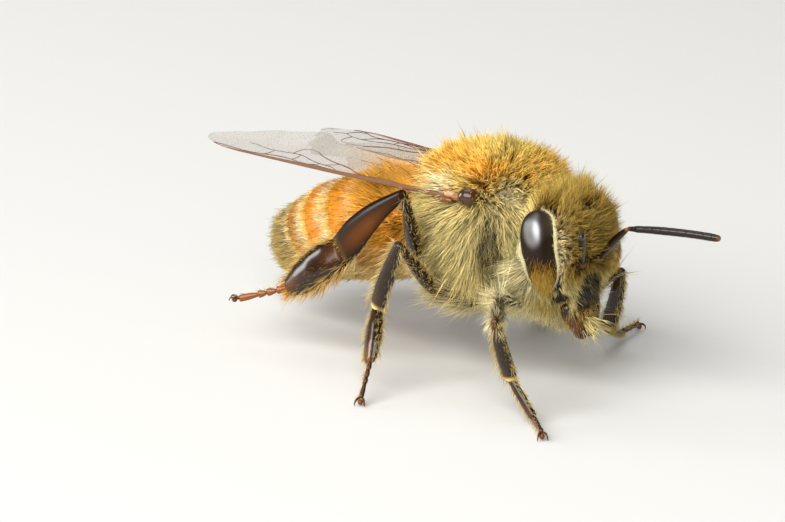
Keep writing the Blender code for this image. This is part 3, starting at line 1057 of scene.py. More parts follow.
@dataclass(frozen=True)
class Eye:
    """A long compound eye, wide above, its front edge upright and its rear edge slanting."""

    side: Side
    out: float = 1.231
    forward: float = 0.141
    up: float = 0.405
    breadth: float = 0.50
    depth: float = 0.445
    height: float = 1.033
    lean: float = -1.2
    tip_back: float = -0.5
    toe_out: float = 3.9
    narrow: float = 0.167
    slant: float = 0.24
    square: float = 3.0
    rim_swell: float = 1.07

    def turn(self) -> Array:
        """Rotation from the eye's frame to the head's."""
        sign = self.side.value
        toe = turn_about(2, sign * self.toe_out)
        return toe @ turn_about(1, sign * self.lean) @ turn_about(0, -self.tip_back)

    def centre(self) -> Array:
        """Middle of the eye in the head's frame."""
        return np.array([self.side.value * self.out, -self.forward, self.up])

    def local(self, points: Array) -> Array:
        """Head points in the eye's frame."""
        return (points - self.centre()) @ self.turn()

    def level(self, points: Array) -> Array:
        """How far out of the eye head points lie; 1 is its surface."""
        p = self.local(points)
        u = np.clip(p[:, 2] / self.height, -1.3, 1.3)
        y = np.abs(p[:, 1] - self.slant * u) / (self.depth * (1.0 + self.narrow * u))
        x = np.abs(p[:, 0]) / (self.breadth * (1.0 + 0.4 * self.narrow * u))
        return np.sqrt(u * u + (x**self.square + y**self.square) ** (2.0 / self.square))

    def form(self, u: Array, angle: Array) -> Array:
        """Points of the surface in the head's frame."""
        r = dome(u, 2.3)
        cx, cy = squared(angle, self.square)
        x = self.breadth * r * (1.0 + 0.4 * self.narrow * u) * cx
        y = self.depth * r * (1.0 + self.narrow * u) * cy + self.slant * u
        return np.stack([x, y, self.height * u], axis=1) @ self.turn().T + self.centre()

    def rim_path(self, head: "HeadForm") -> Array:
        """Closed line where the eye leaves the head, in the head's frame.

        Args:
            head: the head's skin.

        Returns:
            Points from the lower end up the front and down the back.
        """
        turns = np.linspace(0.0, math.pi, 181)
        front, back = [], []
        for u in np.linspace(-0.985, 0.985, 34):
            for sign, line in ((-1.0, front), (1.0, back)):
                angle = sign * turns if self.side is Side.LEFT else math.pi - sign * turns
                spokes = self.form(np.full(len(turns), u), angle) - self.centre()
                ring = self.centre() + spokes * self.rim_swell
                outside = head.level(ring) > 1.0
                if outside[0]:
                    line.append(ring[int(np.argmax(~outside)) if (~outside).any() else -1])
        return np.array(front + back[::-1])

    def build(self, head: "HeadForm", finishes: Finishes) -> None:
        """Make the eye, its pale rim and the fine hair that stands on it."""
        word = self.side.word
        eye = shaped(f"eye_{word}_facets", 56, 44, lambda s, a: HEAD.out(self.form(s, a)))
        local = self.local(HEAD.into(points_of(eye)))
        level = local[:, 2] / self.height
        low = step(-level, 0.0, 0.85)
        note(eye, "warm", low)
        fore = (local[:, 1] - self.slant * level) / self.depth
        note(eye, "matt", step(np.hypot((level - 0.56) / 0.42, (fore + 0.28) / 0.68), 0.55, 1.14))
        hide = Hide.of(eye)
        exposed = step(head.level(HEAD.into(hide.points)), 0.98, 1.12)
        hide.say(density=exposed * (0.16 * step(-level, -0.10, 0.30) + 0.84 * step(low, 0.05, 0.95)),
                 length=0.12 + 0.16 * low, lift=0.30, width=0.0078, curl=0.03,
                 gold=0.9 - 0.5 * low, dark=0.04 + 0.56 * step(low, 0.85, 0.1))
        hide.flow = (HEAD.into(hide.points) - self.centre() - np.array([0.0, 0.0, 0.55])) @ HEAD.turn().T
        hide.unwrap = Unwrap(tuple(HEAD.out(self.centre())), (0.0, 0.0, 1.0), 1.3)
        hand_over(eye, finishes.eye, [f"eye_{word}"])
        hair = Coat(f"eye_{word}_hair", 1150, 41 + self.side.value, rings=2, stray=0.12, tuft=0.05)
        hair.grow(hide, finishes.fur)
        path = self.rim_path(head)
        loop = HEAD.out(path_through(np.vstack([path, path[:1]]), 90))
        stout = (0.01, 0.02, 0.050, 0.062, 0.056, 0.02, 0.01, 0.03, 0.076, 0.082, 0.050, 0.02, 0.01)
        rim = tube(f"eye_{word}_rim", loop, stout, 10, 90)
        tint(rim, 0.25)
        edge = Hide.of(rim)
        edge.flow = edge.points - HEAD.out(self.centre())
        edge.say(length=0.075, lift=0.45, width=0.007, cream=0.9)
        hand_over(rim, finishes.rim)
        hair = Coat(f"eye_{word}_rim_hair", 1100, 51 + self.side.value, rings=2, tuft=0.05)
        hair.grow(edge, finishes.fur)


@dataclass(frozen=True)
class HeadForm:
    """The head's skin: a rounded triangle from the front, wide above and narrow at the jaws."""

    half_width: float = 1.72
    top: float = 1.56
    bottom: float = 1.60
    front: float = 0.84
    back: float = 0.66
    square: float = 2.25

    def reach(self, s: Array) -> tuple[Array, Array, Array]:
        """Half width, front and back reach at a height share."""
        wide = self.half_width * dome(s, 2.5) * blend(((-1.0, 0.70), (0.1, 1.0), (1.0, 1.0)), s)
        front = self.front * dome(s, 3.0) * blend(((-1.0, 0.72), (-0.5, 1.0), (0.2, 0.97), (1.0, 0.92)), s)
        return wide, front, self.back * dome(s, 2.8)

    def form(self, s: Array, angle: Array) -> Array:
        """Points of the surface in the bee's frame."""
        wide, front, back = self.reach(s)
        cx, cy = squared(angle, self.square)
        z = np.where(s < 0, s * self.bottom, s * self.top)
        return HEAD.out(np.stack([wide * cx, -np.where(cy > 0, front, back) * cy, z], axis=1))

    def level(self, points: Array) -> Array:
        """How far out of the skin head points lie; 1 is its surface."""
        s = np.clip(points[:, 2] / np.where(points[:, 2] < 0, self.bottom, self.top), -0.999, 0.999)
        wide, front, back = self.reach(s)
        y = points[:, 1] / np.where(points[:, 1] < 0, front, back)
        return (np.abs(points[:, 0] / wide) ** self.square + np.abs(y) ** self.square) ** (1.0 / self.square)


@dataclass(frozen=True)
class Feeler:
    """An elbowed antenna: ball joint, scape, small second joint and a ringed flagellum."""

    side: Side
    scape_heading: tuple[float, float]
    flagellum_heading: tuple[float, float]
    socket: tuple[float, float, float] = (0.36, -0.85, 0.02)
    scape_length: float = 1.40
    flagellum_length: float = 2.75
    rings: int = 11
    amber_tip: float = 0.25

    def build(self, finishes: Finishes) -> None:
        """Make the scape and the flagellum."""
        sign = self.side.value
        first = heading(sign, *self.scape_heading)
        second = heading(sign, *self.flagellum_heading)
        start = np.array(self.socket) * (sign, 1.0, 1.0)
        elbow = start + first * self.scape_length
        bow = np.array([0.0, 0.0, 0.05])
        line = [start - first * 0.10, start + first * 0.3, start + first * 0.8 + bow, elbow]
        path = path_through(np.array(line), 24)
        scape = tube("scape", HEAD.out(path), [0.07, 0.085, 0.10, 0.105, 0.10, 0.085, 0.06], 16, 30)
        share = np.clip((HEAD.into(points_of(scape)) - start) @ first / self.scape_length, 0.0, 1.0)
        amber = 0.40 * step(share, 0.93, 1.0) + 0.35 * step(share, 0.08, 0.0)
        tint(scape, amber, 0.10 * step(share, 0.97, 1.0))
        bulb = shaped("bulb", 20, 14, lambda s, a: HEAD.out(start - first * 0.02 + 0.135 * sphere(s, a)))
        tint(bulb, 0.16)
        whole = joined(f"antenna_{self.side.word}_stalk", [scape, bulb])
        hand_over(whole, finishes.shell, [f"antenna_{self.side.word}_scape"])

        droop = np.array([0.0, 0.0, -0.10])
        end = elbow + second * self.flagellum_length
        line = [elbow - second * 0.02, elbow + second * 0.9 - droop * 0.3,
                elbow + second * 1.9 - droop * 0.2, end + droop * 0.3]
        run = np.linspace(0.0, 1.0, 400)
        groove = np.abs(((run * self.rings) % 1.0) - 0.5) * 2.0
        swell = blend(((0.0, 0.55), (0.05, 0.62), (0.12, 0.86), (0.4, 1.0), (0.9, 0.98), (1.0, 0.80)), run)
        radius = 0.108 * swell * (1.0 - 0.16 * step(groove, 0.86, 1.0))
        path = path_through(path_through(np.array(line), 60), 400)
        whip = tube(f"antenna_{self.side.word}_whip", HEAD.out(path), radius, 18, 150)
        share = np.clip((HEAD.into(points_of(whip)) - elbow) @ second / self.flagellum_length, 0.0, 1.0)
        amber = 0.5 * step(share, 0.04, 0.0) + self.amber_tip * step(share, 0.95, 1.0)
        tint(whip, amber, 0.4 * self.amber_tip * step(share, 0.97, 1.0))
        hand_over(whip, finishes.shell, [f"antenna_{self.side.word}_flagellum"])


def heading(sign: int, forward: float, up: float) -> Array:
    """Unit vector from degrees forward of straight out to a side, and degrees up."""
    f, u = math.radians(forward), math.radians(up)
    return np.array([sign * math.cos(f) * math.cos(u), -math.sin(f) * math.cos(u), math.sin(u)])


@dataclass(frozen=True)
class Mouth:
    """Jaws, upper lip and folded tongue below the face, with the three small simple eyes above it."""

    jaw_side: float = 0.52
    jaw_forward: float = 0.52
    jaw_drop: float = 1.26
    jaw_length: float = 0.86

    def jaw(self, side: Side, finishes: Finishes) -> Hide:
        """Make one jaw: broad at its hinge and spooned at its tip."""
        sign = side.value
        top = np.array([sign * self.jaw_side, -self.jaw_forward, -self.jaw_drop])
        aim = unit(np.array([-sign * 0.34, -0.20, -0.92]))
        outward = np.array([sign * 0.08, -0.05, 0.0])
        inward = np.array([-sign * 0.10, -0.08, 0.0])
        line = [top - aim * 0.15, top + aim * 0.3 + outward + inward * 0.5,
                top + aim * 0.65 + outward * 0.5 + inward, top + aim * (self.jaw_length + 0.12) + inward]
        run = np.linspace(0.0, 1.0, 24)
        wide = blend(((0.0, 0.24), (0.35, 0.21), (0.75, 0.25), (1.0, 0.24)), run)
        deep = blend(((0.0, 0.22), (0.5, 0.21), (1.0, 0.15)), run)
        across = np.tile([0.25 * sign, -1.0, 0.0], (len(run), 1)) @ HEAD.turn().T
        path = HEAD.out(path_through(np.array(line), len(run)))
        made = shaped(f"jaw_{side.word}", 20, 26, limb_form(path, wide, deep, across))
        share = np.clip((HEAD.into(points_of(made)) - top) @ aim / self.jaw_length, 0.0, 1.0)
        tint(made, 0.04 + 0.16 * step(share, 0.1, 0.5) - 0.16 * step(share, 0.70, 0.95))
        hide = Hide.of(made)
        hide.flow[:] = aim @ HEAD.turn().T
        hide.say(length=0.13, lift=0.35, width=0.006, gold=0.6)
        hand_over(made, finishes.shell, [f"mandible_{side.word}"])
        return hide

    def lip(self, finishes: Finishes) -> Hide:
        """Make the hairy upper lip."""
        def form(s: Array, a: Array) -> Array:
            r = dome(s, 3.0)
            x = 0.46 * s
            y = -0.78 - 0.17 * r * np.sin(a) + 0.25 * x * x
            return HEAD.out(np.stack([x, y, -1.50 + 0.19 * r * np.cos(a)], axis=1))

        made = shaped("upper_lip", 20, 20, form)
        tint(made, 0.2)
        hide = Hide.of(made)
        hide.flow[:] = np.array([0.0, -0.2, -1.0]) @ HEAD.turn().T
        hide.say(length=0.11, lift=0.45, width=0.009, gold=0.5, cream=0.2, dark=0.15)
        hand_over(made, finishes.shell, ["labrum"])
        return hide

    def tongue(self, finishes: Finishes) -> None:
        """Make the folded tongue and its two sheaths behind the jaws."""
        pieces = []
        for x, radius, amber in ((-0.13, 0.10, 0.75), (0.13, 0.10, 0.75), (0.0, 0.075, 0.4)):
            points = np.array([[x, 0.05, -1.45], [x * 1.1, -0.02, -1.80], [x * 0.8, -0.06, -2.10]])
            made = tube("tongue", HEAD.out(path_through(points, 16)), [radius, radius, radius * 0.7], 12, 20)
            tint(made, amber, 0.05)
            pieces.append(made)
        hand_over(joined("tongue_folded", pieces), finishes.shell, ["proboscis"])

    def simple_eyes(self, finishes: Finishes) -> None:
        """Make the three simple eyes on the crown."""
        pieces = []
        for x, y, z in ((0.0, -0.60, 1.22), (-0.22, -0.46, 1.36), (0.22, -0.46, 1.36)):
            made = lump((x, y, z), (0.10, 0.10, 0.10), head=True)
            tint(made, 0.05)
            pieces.append(made)
        hand_over(joined("simple_eyes", pieces), finishes.cap)

    def build(self, finishes: Finishes) -> None:
        """Make all of the mouth and the simple eyes."""
        for side in Side:
            hide = self.jaw(side, finishes)
            hair = Coat(f"jaw_{side.word}_hair", 150, 61 + side.value, rings=2, stray=0.16, tuft=0.05)
            hair.grow(hide, finishes.fur)
        Coat("lip_hair", 500, 64, rings=2, tuft=0.08).grow(self.lip(finishes), finishes.fur)
        self.tongue(finishes)
        self.simple_eyes(finishes)


# ---------------------------------------------------------------- trunk


@dataclass(frozen=True)
class ThoraxForm:
    """The hump of the thorax under its coat."""

    half_width: float = 1.80
    top: float = 1.93
    bottom: float = 1.76
    front: float = 1.92
    back: float = 2.10
    fullness: float = 2.5
    slope: float = 0.20

    def form(self, s: Array, angle: Array) -> Array:
        """Points of the surface in the bee's frame."""
        r = dome(s, self.fullness)
        front_fall = 1.0 - self.slope * np.maximum(0.0, 0.15 - s) ** 1.4
        cx, cz = squared(angle, 2.15)
        z = np.where(cz > 0, self.top * front_fall, self.bottom) * r * cz - 0.10 * s
        return np.stack([self.half_width * r * cx, np.where(s < 0, s * self.front, s * self.back), z], axis=1)

    def level(self, points: Array) -> Array:
        """How far out of the thorax points lie; 1 is about its surface."""
        y = points[:, 1] / np.where(points[:, 1] < 0, self.front, self.back)
        z = points[:, 2] / np.where(points[:, 2] > 0, self.top, self.bottom)
        return np.sqrt(np.abs(y) ** 2.5 + (points[:, 0] / self.half_width) ** 2 + z * z)


@dataclass(frozen=True)
class AbdomenForm:
    """The telescoping rings of the abdomen, which arch down to the tip."""

    start: float = 1.98
    length: float = 5.73
    half_width: float = 1.96
    half_height: float = 1.46
    drop_front: float = 0.41
    drop_tip: float = 1.30
    arch: float = 3.0
    ring_lean: float = 0.73
    ring_ends: tuple = (2.40, 3.52, 4.72, 5.88, 6.91, 7.90)
    ring_step: float = 0.060

    def form(self, s: Array, angle: Array) -> Array:
        """Points of the surface in the bee's frame."""
        p = 0.5 * (s + 1.0)
        widen = blend(((0.0, 0.0), (0.03, 0.50), (0.12, 0.83), (0.36, 1.0), (0.55, 0.98), (1.0, 0.98)), p)
        r = widen * dome(np.maximum(0.0, (p - 0.34) / 0.66), 2.2)
        z = -self.drop_front - self.drop_tip * p**self.arch
        lean = self.arch * self.drop_tip / self.length * p ** (self.arch - 1.0)
        h = self.half_height * r * np.sin(angle)
        x, y = self.half_width * r * np.cos(angle), self.start + self.length * p + lean * h
        return np.stack([x, y, z + h], axis=1)

    def level(self, points: Array) -> Array:
        """How far out of the abdomen points lie; 1 is about its surface."""
        p = np.clip((points[:, 1] - self.start) / self.length, 0.0, 1.0)
        z = points[:, 2] + self.drop_front + self.drop_tip * p**self.arch
        y = (points[:, 1] - self.start - 0.42 * self.length) / (0.58 * self.length)
        return np.sqrt(np.abs(y) ** 3 + (points[:, 0] / self.half_width) ** 2 + (z / self.half_height) ** 2)

    def ring_place(self, points: Array) -> Array:
        """Place of points along the leaning rings."""
        return points[:, 1] - self.ring_lean * points[:, 2]

    def steps(self, place: Array) -> Array:
        """Height of the overlapping ring edges at a place."""
        out = np.zeros(len(place))
        for first, last in zip(self.ring_ends[:-1], self.ring_ends[1:]):
            share = np.clip((place - first) / (last - first), 0.0, 1.0)
            rise = self.ring_step * (share - 0.5) * step(share, 0.0, 0.10)
            out += np.where((place >= first) & (place < last), rise, 0.0)
        return out


@dataclass(frozen=True)
class Region:
    """The coat of one part of the trunk: its strands, the pieces they are split into and its tufts."""

    name: str
    slot: str
    strands: int
    rings: int
    parts: int
    tufts: int
    clump: float
    unwrap: Unwrap


REGIONS = (
    Region("thorax", "fur_golden", 34000, 3, 4, 2500, 0.52,
           Unwrap((0.0, 0.0, 0.0), (0.0, 1.0, 0.0), 2.4, 0.36, 0.64)),
    Region("head", "fur_pale", 25000, 2, 2, 2200, 0.50,
           Unwrap(tuple(HEAD.out(np.zeros(3))), (0.0, 0.0, 1.0), 2.0, 0.68, 0.98)),
    Region("abdomen", "fur_banded", 24000, 2, 2, 3000, 0.40,
           Unwrap((0.0, 5.0, -0.7), (0.0, 1.0, 0.0), 3.4, 0.02, 0.32)),
)


@dataclass(frozen=True)
class Trunk:
    """One skin over head, thorax and abdomen, and the coat that grows on it."""

    head: HeadForm = HeadForm()
    thorax: ThoraxForm = ThoraxForm()
    abdomen: AbdomenForm = AbdomenForm()
    grain: float = 0.055
    eyes: tuple[Eye, Eye] = (Eye(Side.RIGHT), Eye(Side.LEFT))

    def skin(self) -> bpy.types.Object:
        """Merge the three forms and the lumps between them into one closed surface."""
        pieces = [
            shaped("thorax_form", 72, 60, self.thorax.form),
            shaped("head_form", 72, 56, self.head.form),
            shaped("abdomen_form", 72, 90, self.abdomen.form),
            lump((0.0, -1.55, -0.35), (0.62, 0.75, 0.66)),
            lump((0.0, 2.05, -0.62), (0.60, 0.65, 0.60)),
            lump((0.0, 1.25, 1.28), (1.15, 0.62, 0.48)),
            lump((0.0, -0.62, -0.95), (0.60, 0.30, 0.60), head=True),
        ]
        skin = joined("bee_skin", pieces)
        with_modifier(skin, "REMESH", mode="VOXEL", voxel_size=self.grain)
        with_modifier(skin, "SMOOTH", factor=0.5, iterations=8)
        points = points_of(skin)
        weight = self.weights(points)[2]
        lift = self.abdomen.steps(self.abdomen.ring_place(points)) * weight
        set_points(skin, points + normals_of(skin) * lift[:, None])
        face_out(skin)
        return skin

    def weights(self, points: Array) -> Array:
        """Share of head, thorax and abdomen in each point."""
        head, thorax = self.head.level(HEAD.into(points)), self.thorax.level(points)
        levels = np.stack([head, thorax, self.abdomen.level(points)])
        odds = np.exp(-14.0 * (levels - levels.min(axis=0)))
        return odds / odds.sum(axis=0)

    def markings(self, hide: Hide) -> None:
        """Write the coat's lie and colours on the skin.

        Args:
            hide: the skin's surface; its fields are filled in.
        """
        p, h = hide.points, HEAD.into(hide.points)
        head, thorax, abdomen = self.weights(p)
        mirrored = np.stack([-np.abs(p[:, 0]), p[:, 1], p[:, 2]], axis=1)
        sideways = np.stack([-np.abs(h[:, 0]), h[:, 1], h[:, 2]], axis=1)
        none = np.zeros(len(p))

        def mixed(name: str, *pairs: tuple[Array, float]) -> None:
            for mask, target in pairs:
                hide.fields[name] = hide.fields[name] + (target - hide.fields[name]) * mask

        up = step(hide.normals[:, 2], 0.15, 0.85)
        under = step(-hide.normals[:, 2], 0.1, 0.7)
        grey = np.maximum(spot(mirrored, (-1.10, -1.14, 1.00), (0.48, 0.50, 0.44)),
                          0.8 * spot(mirrored, (-1.50, -0.86, 0.66), (0.34, 0.34, 0.36)))
        patch = step(grey, 0.28, 0.75) * thorax
        ridge = np.maximum(spot(mirrored, (-0.90, 0.75, 1.65), (0.75, 1.00, 0.50)),
                           spot(mirrored, (-1.16, -0.25, 1.50), (0.50, 0.60, 0.35)))
        front_gold = thorax * step(-p[:, 1], 0.2, 1.0) * up
        cream_tuft = step(spot(mirrored, (-1.50, 0.60, 1.20), (0.32, 0.55, 0.28)), 0.3, 0.8) * thorax
        # Neck gap between head and thorax: sparser, curlier hair, and painted shade that darkens its hair and
        # skin.
        gap = step(spot(mirrored, (-1.54, -0.88, -0.32), (0.42, 0.36, 0.92)), 0.25, 0.6) * thorax
        wing_root = step(spot(mirrored, (-1.62, 0.0, 0.98), (0.30, 0.60, 0.22)), 0.3, 0.7)

        band = self.abdomen.ring_place(p)
        front_ring = step(band, 3.9, 3.0) * abdomen
        edges = self.abdomen.ring_ends
        creams = sum(share * step(band, edge - 0.03, edge + 0.03) * step(band, edge + 0.72, edge + 0.34)
                     for edge, share in zip(edges[1:5], (0.45, 1.0, 1.0, 1.0)))
        seam = sum(step(band, edge - 0.16, edge - 0.02) * step(band, edge + 0.03, edge)
                   for edge in edges[1:5])
        tip = step(band, 6.9, 7.5)
        darker = step(band, 5.6, 6.6)

        face = head * step(-h[:, 1], 0.15, 0.55)
        crown = head * step(h[:, 2], 0.75, 1.35)
        cheek = head * step(h[:, 1], -0.25, 0.15) * step(h[:, 2], 1.25, 0.7)
        beard = head * step(h[:, 2], -1.0, -1.35)
        upper_face = head * step(-h[:, 1], 0.05, 0.45) * step(h[:, 2], -0.05, 0.45)
        skirt = thorax * step(-p[:, 2], 0.55, 1.25) * (1.0 - under)
        clypeus = face * step(spot(h, (0.04, -0.90, -0.78), (0.66, 0.7, 0.76)), 0.38, 0.60)
        low_face = face * step(h[:, 2], -0.15, -0.55)
        sockets = face * step(spot(sideways, (-0.36, -0.85, 0.02), (0.24, 0.4, 0.24)), 0.3, 0.7)
        malar = head * step(np.maximum(spot(sideways, (-1.08, -0.62, -0.38), (0.15, 0.30, 0.32)),
                                       spot(sideways, (-0.86, -0.58, -0.88), (0.32, 0.30, 0.30))), 0.30, 0.65)
        crown_mark = head * step(spot(h, (0.0, -0.52, 1.28), (0.45, 0.26, 0.20)), 0.35, 0.75)
        near_eye = np.min([eye.level(h) for eye in self.eyes], axis=0)
        in_eye = step(near_eye, 1.20, 1.08) * head
        rim = step(near_eye, 1.55, 1.15) * head
        bare_crown = head * step(spot(sideways, (-0.82, -0.12, 1.38), (0.24, 0.28, 0.26)), 0.35, 0.70)

        rings, ring_tip, dusk = creams * abdomen, tip * abdomen, darker * abdomen
        brow, bare_rim = face * (1.0 - low_face), rim * (1.0 - crown)
        short_rim = bare_rim * (1.0 - 0.8 * upper_face) * (1.0 - 0.9 * cheek)
        mixed("density", (thorax, 1.0), (abdomen, 0.50), (front_ring, 0.7), (ring_tip, 1.0), (patch, 0.34),
              (head, 1.10), (cheek, 1.35), (face, 0.80), (clypeus, 0.09), (sockets, 0.06), (malar, 0.04),
              (in_eye, 0.0), (bare_crown, 0.03), (crown_mark, 0.30), (wing_root, 0.12), (gap, 0.30))
        mixed("length", (thorax, 0.66), (thorax * up, 0.50), (thorax * under, 0.78), (patch, 0.26),
              (abdomen, 0.19), (front_ring, 0.46), (abdomen * under, 0.28), (ring_tip, 0.33), (skirt, 0.86),
              (head, 0.34), (face, 0.26), (upper_face, 0.40), (crown, 0.60), (cheek, 0.72), (beard, 0.55),
              (clypeus, 0.15), (sockets, 0.10), (short_rim, 0.20), (malar, 0.12), (bare_crown, 0.15),
              (crown_mark, 0.16), (wing_root, 0.15), (gap, 0.34))
        mixed("lift", (thorax, 0.40), (thorax * up, 0.80), (abdomen, 0.20), (front_ring, 0.40),
              (ring_tip, 0.40), (head, 0.60), (crown, 0.82), (face, 0.50), (upper_face, 0.85), (cheek, 0.50),
              (rim * (1.0 - upper_face) * (1.0 - cheek), 0.5))
        mixed("curl", (thorax, 0.05), (thorax * up, 0.07), (gap, 0.25), (abdomen, 0.05), (head, 0.08),
              (crown, 0.14), (rim, 0.04))
        mixed("width", (thorax, 0.0175), (abdomen, 0.0115), (ring_tip, 0.014), (head, 0.0145),
              (face, 0.0120), (rim, 0.0100))
        mixed("gold", (thorax, 0.16), (front_gold, 0.60), (ridge * thorax, 1.0), (patch, 0.05),
              (abdomen, 0.95), (dusk, 0.62), (abdomen * under, 0.50), (head, 0.16), (brow, 0.50),
              (crown, 0.50), (beard, 0.12), (ring_tip, 0.42))
        mixed("cream", (thorax * (1.0 - up), 0.50), (thorax * under, 0.45), (patch, 0.45), (cream_tuft, 0.85),
              (rings, 0.80), (abdomen * under, 0.35), (ring_tip, 0.22), (skirt, 0.55), (cheek, 1.0),
              (beard, 0.8), (bare_rim, 0.7), (low_face, 0.45))
        # The neck gap's dark share is painted shade.
        mixed("dark", (gap, 0.70), (clypeus, 0.80), (brow, 0.50), (crown * 0.8, 0.48), (dusk, 0.14),
              (ring_tip, 0.30), (sockets, 0.5), (malar, 0.6), (crown_mark, 0.45), (bare_rim, 0.0))

        backward = -0.45 + 1.35 * step(p[:, 1], -1.2, 0.5)
        combed = np.stack([0.15 * np.sign(p[:, 0]), backward, -0.95 * (1.0 - up)], axis=1)
        combed = combed + front_gold[:, None] * np.array([0.0, -1.1, 0.4])
        from_sockets = unit(np.stack([h[:, 0], none, h[:, 2] - 0.05], axis=1)) + np.array([0.0, 0.0, -0.25])
        inward = np.stack([-0.45 * np.sign(h[:, 0]), none, none - 1.0], axis=1)
        from_sockets = from_sockets + (inward - from_sockets) * step(h[:, 2], -0.1, -0.5)[:, None]
        own = (from_sockets * (1.0 - crown - cheek)[:, None] + np.array([0.0, -0.25, 1.0]) * crown[:, None]
               + np.array([0.0, 0.85, -0.65]) * cheek[:, None])
        hide.flow = (thorax[:, None] * combed + abdomen[:, None] * np.array([0.0, 1.0, -0.25])
                     + head[:, None] * (own @ HEAD.turn().T))
        hide.say(head=head, thorax=thorax, abdomen=abdomen, patch=patch, creams=rings, gap=gap,
                 bare_crown=np.max([bare_crown, malar, 0.75 * clypeus, crown_mark], axis=0),
                 wing_root=wing_root, darker=dusk, seam=seam * abdomen, under=under,
                 saddle=thorax * up * (1.0 - patch))

    def dress(self, skin: bpy.types.Object, fields: dict[str, Array]) -> None:
        """Write the skin's colours for its shader; the neck gap's darkening is painted shade."""
        orange = fields["abdomen"] * (1.0 - 0.35 * fields["darker"]) * (1.0 - 0.4 * fields["under"])
        note(skin, "gold", orange * (1.0 - 0.25 * fields["seam"]) + 0.45 * fields["saddle"])
        note(skin, "cream", np.clip(fields["creams"] * 0.9, 0.0, 1.0))
        note(skin, "bare", np.clip(fields["patch"] + 0.5 * fields["wing_root"], 0.0, 1.0))
        # The neck gap's share of dark is painted shade.
        dark = fields["bare_crown"] + 0.6 * fields["gap"] + 0.4 * fields["head"]
        note(skin, "dark", np.clip(dark, 0.0, 1.0))

    def build(self, finishes: Finishes) -> None:
        """Make the skin, the head's parts and the three coats."""
        skin = self.skin()
        hide = Hide.of(skin)
        self.markings(hide)
        self.dress(skin, hide.fields)
        nodes = ["thorax", "head"] + [f"abdomen_{k}" for k in range(1, 7)]
        hand_over(skin, finishes.skin, nodes)
        for eye in self.eyes:
            eye.build(self.head, finishes)
        Mouth().build(finishes)
        for region in REGIONS:
            hide.unwrap = region.unwrap
            where = hide.fields[region.name] ** 2
            tufts = Tufts.over(hide, where, region.tufts, 5)
            for k in range(region.parts):
                coat = Coat(f"coat_{region.name}_{k + 1}", region.strands // region.parts, 11 + 7 * k,
                            rings=region.rings, stray=0.13, tuft=0.08, clump=region.clump)
                coat.grow(hide, finishes.fur, where, tufts)


# ---------------------------------------------------------------- wings


@dataclass(frozen=True)
class WingPose:
    """How one side's wings lie, in degrees, and the axes that follow."""

    side: Side
    spread: float
    rise: float
    tilt: float
    root: tuple[float, float, float] = (1.80, 0.40, 0.92)

    def axes(self) -> tuple[Array, Array, Array, Array]:
        """Root, span, chord and normal."""
        sign = self.side.value
        spread, rise, tilt = (math.radians(v) for v in (self.spread, self.rise, self.tilt))
        flat = math.cos(rise)
        span = np.array([sign * math.sin(spread) * flat, math.cos(spread) * flat, math.sin(rise)])
        inward = np.array([-sign * math.cos(tilt), 0.0, math.sin(tilt)])
        chord = unit(inward - span * (inward @ span))
        return np.array(self.root) * (sign, 1.0, 1.0), span, chord, np.cross(span, chord)


